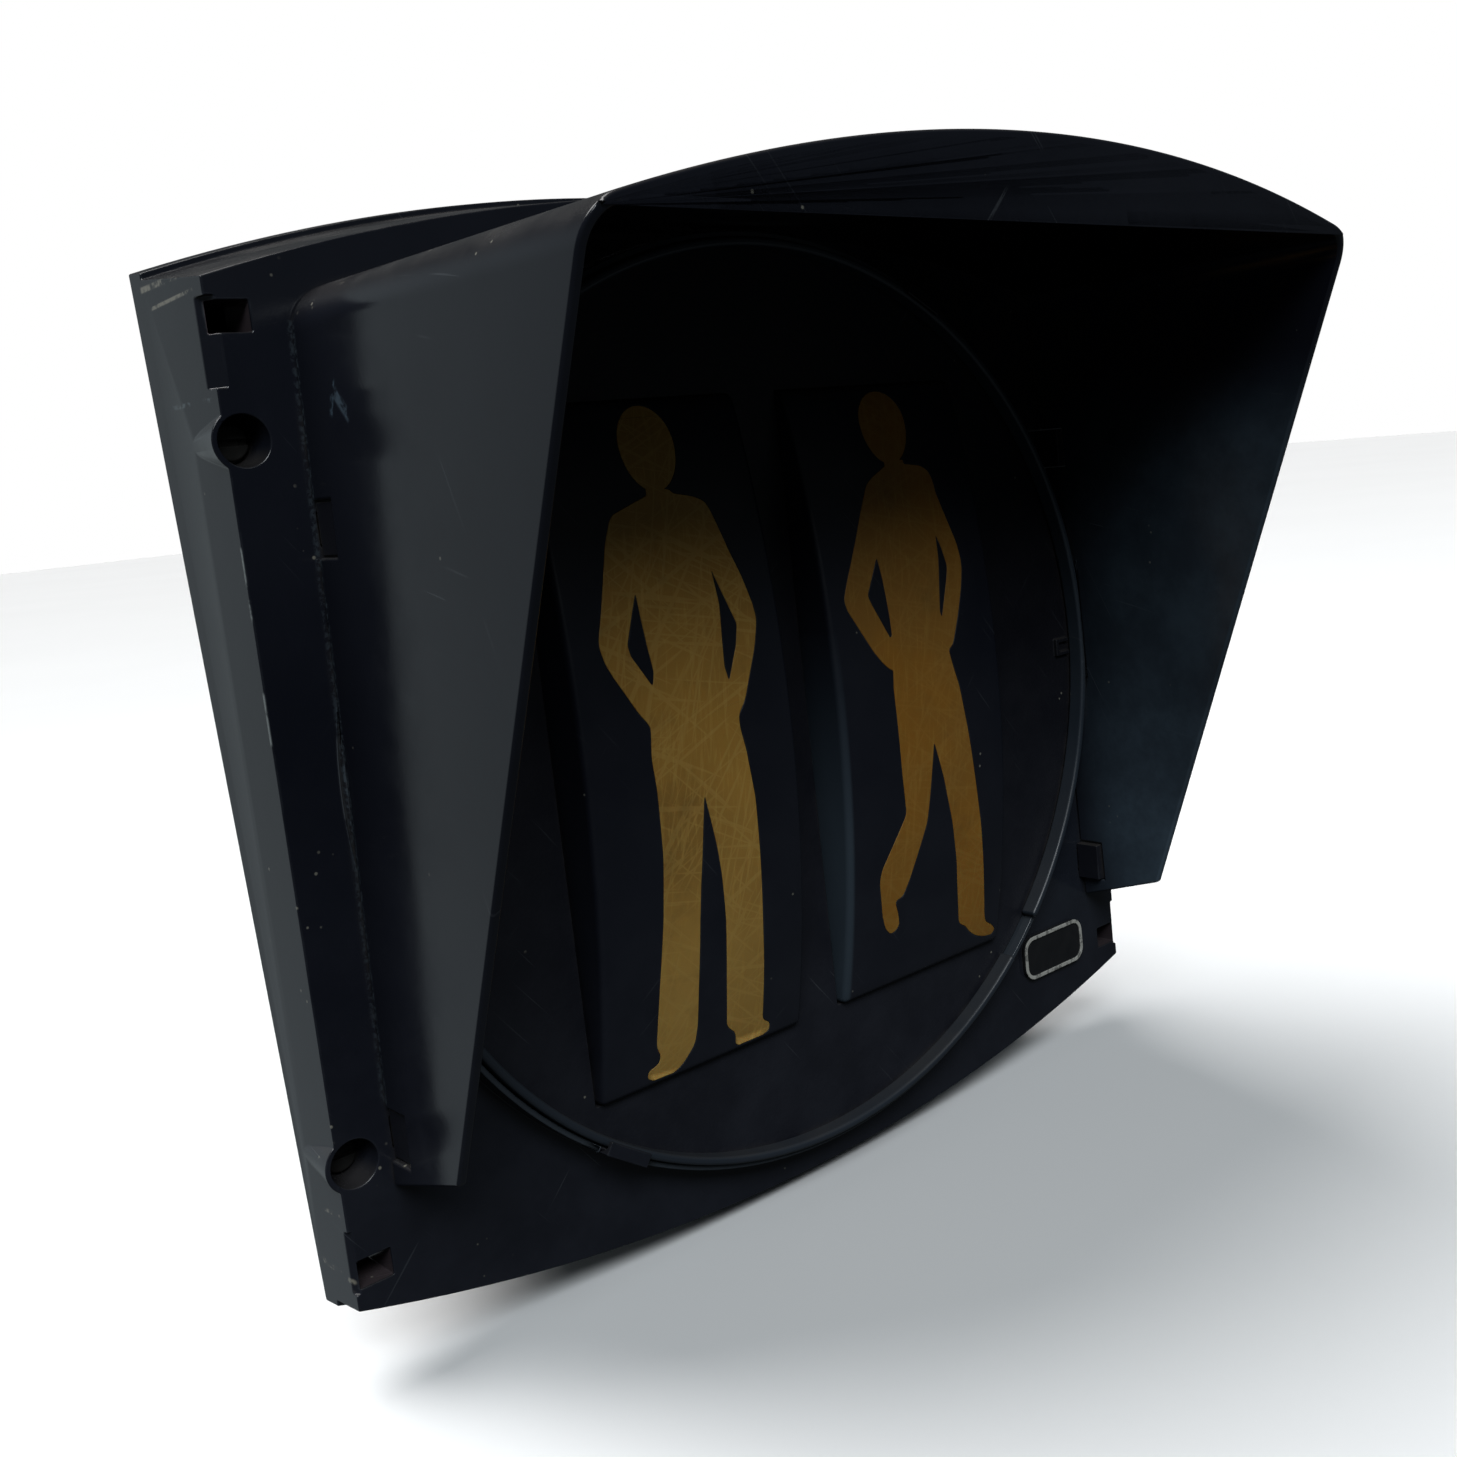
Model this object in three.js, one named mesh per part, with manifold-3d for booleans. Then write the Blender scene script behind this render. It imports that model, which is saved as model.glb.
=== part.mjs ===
// Pedestrian signal head with two figures: hinged door, hood, lens unit and rear casing.
// Millimetres, +Z up. The origin is the centre of the rear mounting face; the door faces -Y.
import * as THREE from 'three';
import { mergeVertices } from 'three/addons/utils/BufferGeometryUtils.js';
import Module from 'manifold-3d';

const wasm = await Module();
wasm.setup();

// ---- Driving dimensions ----
const DEPTH = 112; // door face to mounting face
const FACE = -DEPTH; // Y of the door face
const GAP = 0.3; // between pieces that touch
const BIG = 400; // size of cutting blocks

// Door front cover
const HALF_W = 125;
const SIDE_H = 103; // half height of the straight sides
const RISE = 18.3; // rise of the top and bottom arcs
const WALL = 4;
const PLATE = 3.5;
const FLARE = 0.001; // growth in height for each mm of depth
const RIM_D = 25.5; // depth of the rear rim at mid height
const RIM_SLOPE = 0.0868; // the rim leans back towards the top
const OPENING_R = 106.5;
const COLLAR_R = 111.5;
const COLLAR_T = 1.3;
const COLLAR_H = 6.5;
const KEEPER_ANGLES = [-125, 125, 60]; // degrees, where the collar laps over the ring
const KEEPER_R = 109.6;
const LIP_T = 1.2; // bead along the rear of the top and bottom walls
const LIP_W = 6;

// Corner sockets and side chamfers of the door
const SOCKET_X = [116.6, 124];
const SOCKET_Z = [92.6, 98.6];
const SOCKET_DEPTH = 12;
const SLEEVE_T = 1.6;
const CHAMFERS = [
  { high: [82.5, 99.5], depth: 4.4, width: 2.2 },
  { high: [-99.5, -86], depth: 1.8, width: 1 },
];

// Lens unit
const DISC_R = 111;
const DISC_FRONT = -3.3;
const DISC_BACK = 1.5;
const RING_R = 111.2;
const RING_T = 2;
const RING_FRONT = -8.6;
const RING_GAP = [-51, -44]; // degrees, where the retaining ring is split
const TILE_X = [7.35, 66.45];
const TILE_Z = [-80.1, 75.3];
const TILE_EDGE = -5.5; // depth of the tile face at its top and bottom
const TILE_CROWN = 9.6; // how far the middle stands further out
const MASK_T = 1.2;
const LENS_T = 2;
const WEB_REACH = 25.5; // how far the webs behind the arms reach from a figure's middle
const KEY_X = [103, 108.6]; // index key on the rim of the disc
const KEY_Z = [-5.5, -0.5];
const FLANGE_R = 105; // lens flanges stay inside this radius

// Emblem plate in the lower right corner
const EMBLEM_AT = [94.5, -92.2];
const EMBLEM_HALF = [13, 6.4];
const EMBLEM_CORNER = 4;
const EMBLEM_BORDER = 1.1;

// Hood
const HOOD_HALF = 114; // at the lower ends of the walls
const HOOD_FOOT = -76; // mean height of those ends
const HOOD_LEAN = 0.00024; // share by which the walls close in for each mm of height
const HOOD_T = 2.2;
const HOOD_TOP = 99; // height of the wall tops at the root
const HOOD_RISE = 16.5; // rise of the roof arc
const HOOD_CORNER = 9;
const HOOD_REACH = 102;
const HOOD_LIFT = 0.01; // the roof climbs towards the front
const HOOD_LOW = [-80.3, -72.8]; // bottom of the walls at the root and at the front
const HOOD_LOW_REACH = 27.8;
const CLIP_Z = [54.5, -69];
const CLIP_H = 10.5;
const CLIP_X = [-4, -0.8]; // head of a clip, from the outer face of the hood wall
const PRONG_X = [-3.4, -1.2]; // its prong, through the door plate

// Captive quarter-turn screws
const SCREW_X = -121.3;
const SCREW_Z = 72.5;
const WELL_R = [5, 4.1]; // at the door face and at the floor
const WELL_FLOOR = 9;
const BULGE_R = [6.2, 3.7]; // at the door face and at its end
const BULGE_D = 16;
const BOSS_R = 6.4;
const HEAD_R = 3.6;
const HEAD_T = 2;
const SHANK_R = 2;
const CAM_LENGTH = 9;
const CATCH_LIP = 1.6;

// Hinge
const HINGE_X = 130.5;
const HINGE_D = 27;
const PIN_R = 2.5;
const PIN_CLEARANCE = 0.08;
const BARREL_R = 5;
const LUG_H = 9;
const HINGE_Z = 75; // height of the middle of each door lug

// Rear casing
const CASE_WALL = 3;
const CASE_BACK = 104; // depth of the outer rear face
const CASE_TAPER = 0.76; // rear size over front size
const FLANGE_T = 3;
const RIM_SEAL = 1.5; // thickness of the rim gasket
const TUB = [112, 104, 26]; // half width, half height and corner radius at the rim
const PAD = [120, 130]; // mounting plate, width and height
const SLOT_Z = [-40, 40]; // fixing slots
const SLOT_SIZE = [10, 18];
const BOLTS = [[-44, -48], [-44, 48], [44, -48], [44, 48]];
const BOLT_R = 4;
const POSTS = [[-74, -58], [-74, 58], [74, -58], [74, 58]];
const POST_FRONT = 84;
const GLAND_D = 84; // depth of the cable gland's axis
const GLAND_R = 8;
const GLAND_BORE = 4.5;
const GLAND_WALL = [-88, -77]; // faces of the boss that the gland clamps

// Lamps
const CHAMBER_X = 36.9;
const BRACKET_T = 1.6;
const BRACKET_D = POST_FRONT - GAP;
const BRACKET_FRONT = BRACKET_D - BRACKET_T;
const HOLDER_R = 13;
const HOLDER_BACK = BRACKET_D + 8;
const REFLECTOR_D = [20, 70]; // front and rear edge
const REFLECTOR_HALF = [26.4, 70]; // half width and half height at the front
const BULB_R = 14.5;
const BULB_D = 44; // depth of the bulb's middle
const CAP_D = 61; // front edge of the bulb's cap

// Wiring
const BLOCK_X = [-26, 26];
const BLOCK_Z = [-68, -54];
const TERMINALS = [-19.5, -6.5, 6.5, 19.5];
const LEAD_R = 1.6;

// ---- Materials ----
const finish = (color, roughness, metalness) =>
  new THREE.MeshStandardMaterial({ color, roughness, metalness });
const navy = finish(0x10131c, 0.42, 0);
const black = finish(0x0b0c10, 0.6, 0);
const amber = finish(0xb4791f, 0.35, 0);
const rubber = finish(0x141414, 0.85, 0);
const steel = finish(0x9a9c9e, 0.35, 1);
const blackened = finish(0x1b1a19, 0.65, 0.6);
const mirror = finish(0xd4d6d8, 0.15, 1);
const brass = finish(0xb08d45, 0.4, 1);
const glass = finish(0xdfe6ea, 0.08, 0);
const cream = finish(0xe4dfd0, 0.5, 0);
const white = finish(0xd8d6cc, 0.5, 0);

// ---- Solids ----
function solid(geometry) {
  geometry.deleteAttribute('normal');
  geometry.deleteAttribute('uv');
  const merged = mergeVertices(geometry, 1e-4);
  const vertProperties = new Float32Array(merged.attributes.position.array);
  const triVerts = new Uint32Array(merged.index.array);
  return new wasm.Manifold(new wasm.Mesh({ numProp: 3, vertProperties, triVerts }));
}

function join(...parts) {
  return parts.reduce((whole, part) => whole.add(part));
}

function cut(body, ...tools) {
  return tools.reduce((whole, tool) => whole.subtract(tool), body);
}

function block([x0, x1], [y0, y1], [z0, z1]) {
  const geometry = new THREE.BoxGeometry(x1 - x0, y1 - y0, z1 - z0);
  return solid(geometry.translate((x0 + x1) / 2, (y0 + y1) / 2, (z0 + z1) / 2));
}

// A round bar along Y, X or Z, from one coordinate to another on that axis.
function rodY(x, z, radius, [y0, y1], sides = 16) {
  const geometry = new THREE.CylinderGeometry(radius, radius, y1 - y0, sides);
  return solid(geometry.translate(x, (y0 + y1) / 2, z));
}

function rodZ(x, y, radius, [z0, z1], sides = 16) {
  const geometry = new THREE.CylinderGeometry(radius, radius, z1 - z0, sides);
  return solid(geometry.rotateX(Math.PI / 2).translate(x, y, (z0 + z1) / 2));
}

// An outline in X and Z, extruded along Y. A flare grows Z with the depth behind the face.
function prismY(outline, [y0, y1], { flare = 0, taper = 1 } = {}) {
  const shape = outline instanceof THREE.Shape ? outline : new THREE.Shape(outline);
  const geometry = new THREE.ExtrudeGeometry(shape, {
    depth: y1 - y0,
    bevelEnabled: false,
    curveSegments: 12,
  });
  geometry.rotateX(Math.PI / 2).translate(0, y1, 0);
  const position = geometry.attributes.position;
  for (let i = 0; i < position.count; i += 1) {
    const y = position.getY(i);
    const shrink = 1 + ((taper - 1) * (y - y0)) / (y1 - y0);
    position.setX(i, position.getX(i) * shrink);
    position.setZ(i, position.getZ(i) * shrink * (1 + flare * (y - FACE)));
  }
  return solid(geometry);
}

// An outline in Y and Z, extruded along X.
function prismX(outline, [x0, x1]) {
  const shape = new THREE.Shape(outline.map(([y, z]) => new THREE.Vector2(y, z)));
  const geometry = new THREE.ExtrudeGeometry(shape, { depth: x1 - x0, bevelEnabled: false });
  const turn = new THREE.Matrix4().makeBasis(
    new THREE.Vector3(0, 1, 0),
    new THREE.Vector3(0, 0, 1),
    new THREE.Vector3(1, 0, 0),
  );
  return solid(geometry.applyMatrix4(turn).translate(x0, 0, 0));
}

// An outline in X and Y, extruded along Z.
function prismZ(outline, [z0, z1]) {
  const shape = new THREE.Shape(toVectors(outline));
  const geometry = new THREE.ExtrudeGeometry(shape, { depth: z1 - z0, bevelEnabled: false });
  return solid(geometry.translate(0, 0, z0));
}

// A profile of [radius, depth] points turned about the Y axis through [x, z].
function turned(profile, x = 0, z = 0, sides = 48) {
  const points = profile.map(([r, d]) => new THREE.Vector2(r, FACE + d));
  const signed = points.reduce((sum, p, i) => {
    const q = points[(i + 1) % points.length];
    return sum + p.x * q.y - q.x * p.y;
  }, 0);
  if (signed < 0) points.reverse();
  const onAxis = points.some((p) => p.x === 0);
  if (!onAxis) points.push(points[0].clone());
  return solid(new THREE.LatheGeometry(points, sides).translate(x, 0, z));
}

// Everything in front of (or behind) the leaning rim plane, moved back by an offset.
function rimBlock(offset, behind) {
  const edge = (z) => FACE + RIM_D + RIM_SLOPE * z + offset;
  const far = behind ? BIG : -BIG;
  const outline = [[edge(-BIG), -BIG], [edge(BIG), BIG], [far, BIG], [far, -BIG]];
  return prismX(behind ? outline.reverse() : outline, [-BIG, BIG]);
}

const rimAt = (z) => RIM_D + RIM_SLOPE * z;

// The upper half of an arched outline, from the right-hand side over the top to the left:
// half width w, side height h, rise of the arc, then an inset and a corner radius inside it.
function archedTop({ w, h, rise }, inset, corner, cornerSteps, arcSteps) {
  const full = (w ** 2 + rise ** 2) / (2 * rise);
  const centre = h + rise - full;
  const arcR = full - inset;
  const reach = arcR - corner;
  const cx = w - inset - corner;
  const cz = centre + Math.sqrt(reach ** 2 - cx ** 2);
  const lean = Math.asin(cx / reach);
  const right = [];
  for (let i = 0; i <= cornerSteps; i += 1) {
    const a = (i / Math.max(1, cornerSteps)) * (Math.PI / 2 - lean);
    right.push([cx + corner * Math.cos(a), cz + corner * Math.sin(a)]);
  }
  for (let i = 1; i <= arcSteps; i += 1) {
    const a = lean * (1 - i / arcSteps);
    right.push([arcR * Math.sin(a), centre + arcR * Math.cos(a)]);
  }
  const left = right.slice(0, -1).reverse().map(([x, z]) => [-x, z]);
  return [...right, ...left];
}

const toVectors = (points) => points.map(([x, z]) => new THREE.Vector2(x, z));

// The door outline: straight sides, arched top and bottom.
function doorOutline(inset, corner = 0) {
  const shape = { w: HALF_W, h: SIDE_H, rise: RISE };
  const top = archedTop(shape, inset, corner, corner > 0 ? 4 : 0, 6);
  return toVectors([...top, ...top.map(([x, z]) => [-x, -z])]);
}

// A rectangle with rounded corners, from its half sizes, about the middle [x, z].
function roundedBox(w, h, r, steps = 5, [x, z] = [0, 0]) {
  const points = [];
  [[1, 1, 0], [-1, 1, 90], [-1, -1, 180], [1, -1, 270]].forEach(([sx, sz, start]) => {
    for (let i = 0; i <= steps; i += 1) {
      const a = THREE.MathUtils.degToRad(start + (i / steps) * 90);
      points.push([x + sx * (w - r) + r * Math.cos(a), z + sz * (h - r) + r * Math.sin(a)]);
    }
  });
  return toVectors(points);
}

// The span between a and b on one side of the middle.
const spanOn = (side, [a, b]) => [side * a, side * b].sort((p, q) => p - q);

// ---- Scene graph ----
const group = new THREE.Group();
group.name = 'pedestrian_signal_head';

function add(name, body, material) {
  const mesh = body.getMesh();
  const geometry = new THREE.BufferGeometry();
  geometry.setAttribute('position', new THREE.BufferAttribute(mesh.vertProperties, 3));
  geometry.setIndex(new THREE.BufferAttribute(mesh.triVerts, 1));
  geometry.computeVertexNormals();
  const node = new THREE.Mesh(geometry, material);
  node.name = name;
  group.add(node);
}

// ---- Door front cover ----
function doorFrame() {
  const outer = prismY(doorOutline(0), [FACE, FACE + 60], { flare: FLARE });
  const inner = prismY(doorOutline(WALL), [FACE + PLATE, FACE + 70], { flare: FLARE });
  const opening = turned([[0, -5], [OPENING_R, -5], [OPENING_R, PLATE + 5], [0, PLATE + 5]]);
  let body = cut(outer, inner, opening, rimBlock(0, true));
  body = join(body, backLip(), collar(), ...ringKeepers(), ...sockets(SLEEVE_T));
  for (const z of [SCREW_Z, -SCREW_Z]) body = withWell(body, z);
  body = cut(body, ...sockets(0), ...sideChamfers(), ...clipSlots());
  return join(body, ...doorLugs());
}

// A low bead along the rear of the top and bottom walls.
function backLip() {
  const raised = prismY(doorOutline(-LIP_T), [FACE, FACE + 60], { flare: FLARE });
  const core = prismY(doorOutline(WALL - 1), [FACE - 1, FACE + 61], { flare: FLARE });
  const sides = block([-HALF_W, HALF_W], [FACE - 5, FACE + 70], [-BIG, BIG]);
  return cut(raised.intersect(sides), core, rimBlock(-LIP_W, false), rimBlock(0, true));
}

// The collar round the lens unit, open at the sides where the hood walls stand.
function collar() {
  const low = 0.5;
  const ring = turned([
    [COLLAR_R, low], [COLLAR_R + COLLAR_T, low],
    [COLLAR_R + COLLAR_T, -COLLAR_H], [COLLAR_R, -COLLAR_H],
  ]);
  const open = HOOD_HALF - HOOD_T - 3.5;
  const walls = [[-BIG, -open], [open, BIG]];
  return cut(ring, ...walls.map((x) => block(x, [FACE - 20, FACE - 0.01], [-BIG, BIG])));
}

// Small wedges on the collar that lap over the retaining ring.
function ringKeepers() {
  const outer = COLLAR_R + COLLAR_T;
  const seatFront = RING_FRONT - GAP;
  const seat = turned([
    [105, 0.2], [COLLAR_R + 0.1, 0.2], [COLLAR_R + 0.1, seatFront], [105, seatFront],
  ]);
  return KEEPER_ANGLES.map((degrees) => {
    const geometry = new THREE.BoxGeometry(outer - KEEPER_R, 10.2, 12);
    geometry.translate((outer + KEEPER_R) / 2, FACE - 4.95, 0);
    geometry.rotateY(-THREE.MathUtils.degToRad(degrees));
    return cut(solid(geometry), seat);
  });
}

// Depth of the end of a screw boss, in front of the leaning rim.
const bossEnd = (z) => rimAt(z) - 6;

// A round boss inside the side wall with a tapered screw well, which bulges through the wall.
function withWell(body, z) {
  const end = bossEnd(z);
  const boss = rodY(SCREW_X, z, BOSS_R, [FACE + 0.5, FACE + end], 20);
  const inside = block([-HALF_W + 0.5, 0], [FACE - 1, FACE + 60], [-BIG, BIG]);
  const outside = block([-HALF_W - 20, -HALF_W + 0.6], [FACE, FACE + 60], [-BIG, BIG]);
  const cone = [[0, 0], [BULGE_R[0], 0], [BULGE_R[1], BULGE_D], [0, BULGE_D]];
  const bulge = turned(cone, SCREW_X, z, 24).intersect(outside);
  const [mouth, floor] = WELL_R;
  const slope = (mouth - floor) / WELL_FLOOR;
  const well = turned(
    [[0, -1], [mouth + slope, -1], [floor, WELL_FLOOR], [0, WELL_FLOOR]],
    SCREW_X,
    z,
    24,
  );
  const bore = rodY(SCREW_X, z, SHANK_R + PIN_CLEARANCE, [FACE, FACE + 60], 16);
  const camRoom = block(
    [SCREW_X - SHANK_R - 0.5, SCREW_X + 4],
    [FACE + end, FACE + 60],
    [z - 5, z + CAM_LENGTH + 2.5],
  );
  return cut(join(body, boss.intersect(inside), bulge), well, bore, camRoom);
}

// Rectangular sockets in the four corners, open behind; a wall makes the sleeves round them.
function sockets(wall) {
  const [x0, x1] = SOCKET_X;
  const [z0, z1] = SOCKET_Z;
  const y = wall > 0 ? [FACE + 1, FACE + SOCKET_DEPTH] : [FACE - 1, FACE + SOCKET_DEPTH + 1];
  const outerX = wall > 0 ? HALF_W - 1 : x1;
  return [-1, 1].flatMap((side) => [-1, 1].map((up) => (
    block(spanOn(side, [x0 - wall, outerX]), y, spanOn(up, [z0 - wall, z1 + wall]))
  )));
}

// Short chamfers on the front edge of each side wall near its ends. The cutting wedge runs on
// past the edge by half its size at both ends.
function sideChamfers() {
  return [-1, 1].flatMap((side) => CHAMFERS.map(({ high, depth, width }) => {
    const far = side * (HALF_W + width / 2);
    const front = FACE - depth / 2;
    const outline = [
      [side * (HALF_W - 1.5 * width), front], [far, FACE + 1.5 * depth], [far, front],
    ];
    return prismZ(outline, high);
  }));
}

function clipSlots() {
  return clipPlaces().map(([side, z]) => {
    const [a, b] = fromHood(PRONG_X, z);
    return block(spanOn(side, [a - GAP, b + GAP]), [FACE - 1, FACE + PLATE + 1], [z - 3.5, z + 3.5]);
  });
}

function clipPlaces() {
  return [-1, 1].flatMap((side) => CLIP_Z.map((z) => [side, z]));
}

// Hinge lugs on the right-hand wall.
function doorLugs() {
  return [HINGE_Z, -HINGE_Z].map((z) => {
    const high = [z - LUG_H / 2, z + LUG_H / 2];
    const arm = block([HALF_W - 1, HINGE_X], [FACE + 8, FACE + HINGE_D + 2], high);
    const root = block([HALF_W - 1, HALF_W + 1.5], [FACE + 8, FACE + rimAt(z)], high);
    const barrel = rodZ(HINGE_X, FACE + HINGE_D, BARREL_R, high, 16);
    const bore = rodZ(HINGE_X, FACE + HINGE_D, PIN_R + PIN_CLEARANCE, [z - 20, z + 20], 20);
    const clear = block([0, HALF_W + 0.5], [FACE + rimAt(z) - 0.5, FACE + 60], [z - 9, z + 9]);
    return cut(join(cut(arm, clear), root, barrel), clear, bore);
  });
}

// ---- Hood ----
// How much narrower the hood is at a height than at the lower ends of its walls.
const hoodLean = (z) => 1 - HOOD_LEAN * (z - HOOD_FOOT);

// Distances from the outer face of a hood wall, as X at one height.
const fromHood = (distances, z) => distances.map((d) => HOOD_HALF * hoodLean(z) + d);

function hoodOutline(inset) {
  const shape = { w: HOOD_HALF, h: HOOD_TOP, rise: HOOD_RISE };
  const roof = archedTop(shape, inset, HOOD_CORNER - inset, 5, 10);
  const w = HOOD_HALF - inset;
  const outline = [[w, -130], ...roof, [-w, -130]];
  return toVectors(outline.map(([x, z]) => [x * hoodLean(z), z]));
}

// The room that the retaining ring and the lens disc need in the inner faces of the hood walls.
function ringRoom() {
  const [r, front] = [RING_R + GAP, RING_FRONT - GAP];
  return turned([[0, front], [r, front], [r, 1], [0, 1]], 0, 0, 96);
}

function hood() {
  const root = FACE - GAP;
  const tip = FACE - HOOD_REACH;
  const outer = prismY(hoodOutline(0), [tip - 10, root]);
  const inner = prismY(hoodOutline(HOOD_T), [tip - 20, root + 10]);
  const lift = new THREE.Matrix4().set(
    1, 0, 0, 0,
    0, 1, 0, 0,
    0, -HOOD_LIFT, 1, HOOD_LIFT * FACE,
    0, 0, 0, 1,
  );
  const shell = cut(outer, inner).transform(lift.elements);
  const side = prismX([
    [root, 140], [tip, 140], [tip, HOOD_TOP + 1],
    [FACE - HOOD_LOW_REACH, HOOD_LOW[1]], [root, HOOD_LOW[0]],
  ], [-BIG, BIG]);
  const slots = clipPlaces().map(([, z]) => (
    block([-BIG, BIG], [FACE - 8.2, FACE], [z - CLIP_H / 2 - GAP, z + CLIP_H / 2 + GAP])
  ));
  return cut(shell.intersect(side), ringRoom(), ...slots);
}

function hoodClip(side, z) {
  const high = [z - CLIP_H / 2, z + CLIP_H / 2];
  const narrow = [z - 3.2, z + 3.2];
  const [inner, outer] = fromHood(PRONG_X, z);
  return join(
    block(spanOn(side, fromHood(CLIP_X, z)), [FACE - 7.9, FACE - GAP], high),
    block(spanOn(side, [inner, outer]), [FACE - 1, FACE + 7], narrow),
    block(spanOn(side, [inner - 1.4, outer]), [FACE + PLATE + GAP, FACE + 6], narrow),
  );
}

// ---- Lens unit ----
// The tile section in Y and Z: a barrel arc in front, an inset for each layer, open behind.
function tileSection(inset, back) {
  const half = (TILE_Z[1] - TILE_Z[0]) / 2;
  const mid = (TILE_Z[1] + TILE_Z[0]) / 2;
  const radius = (half ** 2 + TILE_CROWN ** 2) / (2 * TILE_CROWN);
  const centre = TILE_EDGE - TILE_CROWN + radius;
  const h = half - inset;
  const r = radius - inset;
  const reach = Math.asin(h / r);
  const points = [[FACE + back, mid - h]];
  for (let i = 0; i <= 12; i += 1) {
    const a = -reach + (2 * reach * i) / 12;
    points.push([FACE + centre - r * Math.cos(a), mid + r * Math.sin(a)]);
  }
  points.push([FACE + back, mid + h]);
  return points.reverse();
}

function tileBlock(side, inset, back) {
  const x = spanOn(side, TILE_X);
  return prismX(tileSection(inset, back), [x[0] + inset, x[1] - inset]);
}

// Figures, drawn for the front view. Each has an outline and the two openings by the arms; a head
// is given by its middle, its half width and its height above and below the middle. The third
// corner of an opening is the one at the elbow, where a web passes.
const STANDING = {
  centre: -36.9,
  head: [1.4, 65.2, 7.5, 8.9, 10.4],
  outline: [
    [4.6, 55], [5.6, 54], [11, 52.8], [13.8, 51.4], [14.9, 49], [16, 45.5], [17.8, 39.5],
    [20, 33.5], [21.8, 27], [22.3, 23], [20.6, 17], [18.2, 11.3], [15.6, 5], [13.3, 2], [13.3, -1],
    [14.4, -6.5], [15.1, -12.5], [15.8, -18], [16.2, -33], [16.4, -50], [16.7, -60], [16.7, -74.5],
    [19, -76], [19, -78], [17, -78.7], [8.6, -78.7], [8.4, -75], [5.6, -72.5], [5.3, -60],
    [5.3, -45], [4.6, -34], [3.7, -27], [1.2, -14], [0.2, -21], [-1.6, -35.5], [-2.2, -43],
    [-3, -60], [-3.2, -69], [-3.9, -73.5], [-7, -77.2], [-9.6, -78.8], [-15.8, -78.6],
    [-17.3, -77.5], [-17, -75.8], [-14.2, -74.8], [-13.7, -73.1], [-14.9, -70.3], [-14.6, -64],
    [-14, -56], [-12.4, -40], [-11.4, -25.5], [-11.5, -10], [-12, -3], [-11.2, 4], [-13.7, 7.2],
    [-19.1, 16.5], [-20.7, 20], [-21.4, 24], [-19.4, 30.3], [-16.7, 39.5], [-15, 45], [-12.9, 49.4],
    [-11.7, 50.8], [-4.9, 53.1], [-1.6, 54.1], [-1.6, 56],
  ],
  gaps: [
    [
      [-9.8, 33.5], [-11.7, 29], [-14.2, 22.5], [-13.7, 20], [-9.2, 12.6], [-8.4, 15.7], [-9, 20.5],
      [-9.5, 27],
    ],
    [
      [11.7, 36], [13.6, 30.5], [16.4, 22.8], [15.2, 18], [11.8, 10.2], [11, 13.8], [11.5, 20],
      [12.3, 28],
    ],
  ],
};
const WALKING = {
  centre: 36.9,
  head: [1.2, 65.8, 7.9, 8, 10.6],
  outline: [
    [5.4, 56], [5.4, 54.8], [11.2, 54], [13.6, 52.3], [14.4, 50], [14.7, 46.5], [16, 42],
    [17.4, 37.5], [18.9, 33], [19.5, 28.5], [19.3, 25.8], [17.9, 20.8], [15.8, 15], [12.4, 7],
    [10.5, 5.8], [11.5, 1.5], [13.2, -4.2], [14.3, -10.6], [15.6, -18], [17.7, -32], [19.7, -44.5],
    [20.7, -53], [22.5, -70], [23.2, -72.8], [26.3, -74.8], [27.5, -76.4], [26.4, -77.6],
    [23.4, -77.3], [19.7, -76], [16.7, -73.8], [15.1, -71.8], [12.2, -70.1], [10.7, -58.5],
    [10.2, -52], [8.3, -40], [6.8, -34], [5.4, -27.5], [2.3, -17], [0.9, -25.5], [-0.6, -34.5],
    [-1.4, -38.3], [-3.7, -43.3], [-7.8, -52], [-10.2, -56], [-13, -56.5], [-11.6, -60.6],
    [-11.1, -63.4], [-12.4, -64.9], [-14.3, -65.2], [-16, -63.4], [-17.3, -59.7], [-18.6, -50],
    [-17.8, -46.8], [-15.7, -43.8], [-10.5, -36.5], [-8.8, -34], [-9.8, -23], [-10.2, -12.5],
    [-10.6, -1], [-10.1, 3.8], [-11.2, 4.3], [-13.2, 6], [-16, 9.4], [-21.5, 18.4], [-23, 21],
    [-23.5, 23.5], [-22.3, 26.4], [-17.2, 36], [-12.8, 44.5], [-9.2, 50.6], [-7.2, 52.1],
    [-1.4, 54.8], [-1.4, 56],
  ],
  gaps: [
    [
      [-10.4, 32.6], [-13, 28], [-15.5, 23.6], [-14.6, 21.2], [-9.8, 12], [-9.1, 12.6], [-9.1, 18],
      [-9.7, 28],
    ],
    [
      [11.7, 36], [13, 32.3], [14.1, 27.5], [13.4, 25], [9.5, 14.5], [9, 16], [10, 22.5],
      [11.3, 29.7],
    ],
  ],
};

// Moves each corner of a closed outline outwards along its bisector.
function grow(points, by) {
  const area = points.reduce((sum, [x, z], i) => {
    const [nx, nz] = points[(i + 1) % points.length];
    return sum + x * nz - nx * z;
  }, 0);
  const out = Math.sign(area) * by;
  return points.map(([x, z], i) => {
    const [px, pz] = points[(i - 1 + points.length) % points.length];
    const [nx, nz] = points[(i + 1) % points.length];
    const a = new THREE.Vector2(z - pz, px - x).normalize();
    const b = new THREE.Vector2(nz - z, x - nx).normalize();
    const m = a.clone().add(b).normalize();
    const reach = out / Math.max(0.5, m.dot(a));
    return [x + m.x * reach, z + m.y * reach];
  });
}

function flat(points, centre, y) {
  return prismY(toVectors(points.map(([x, z]) => [centre + x, z])), y);
}

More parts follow.
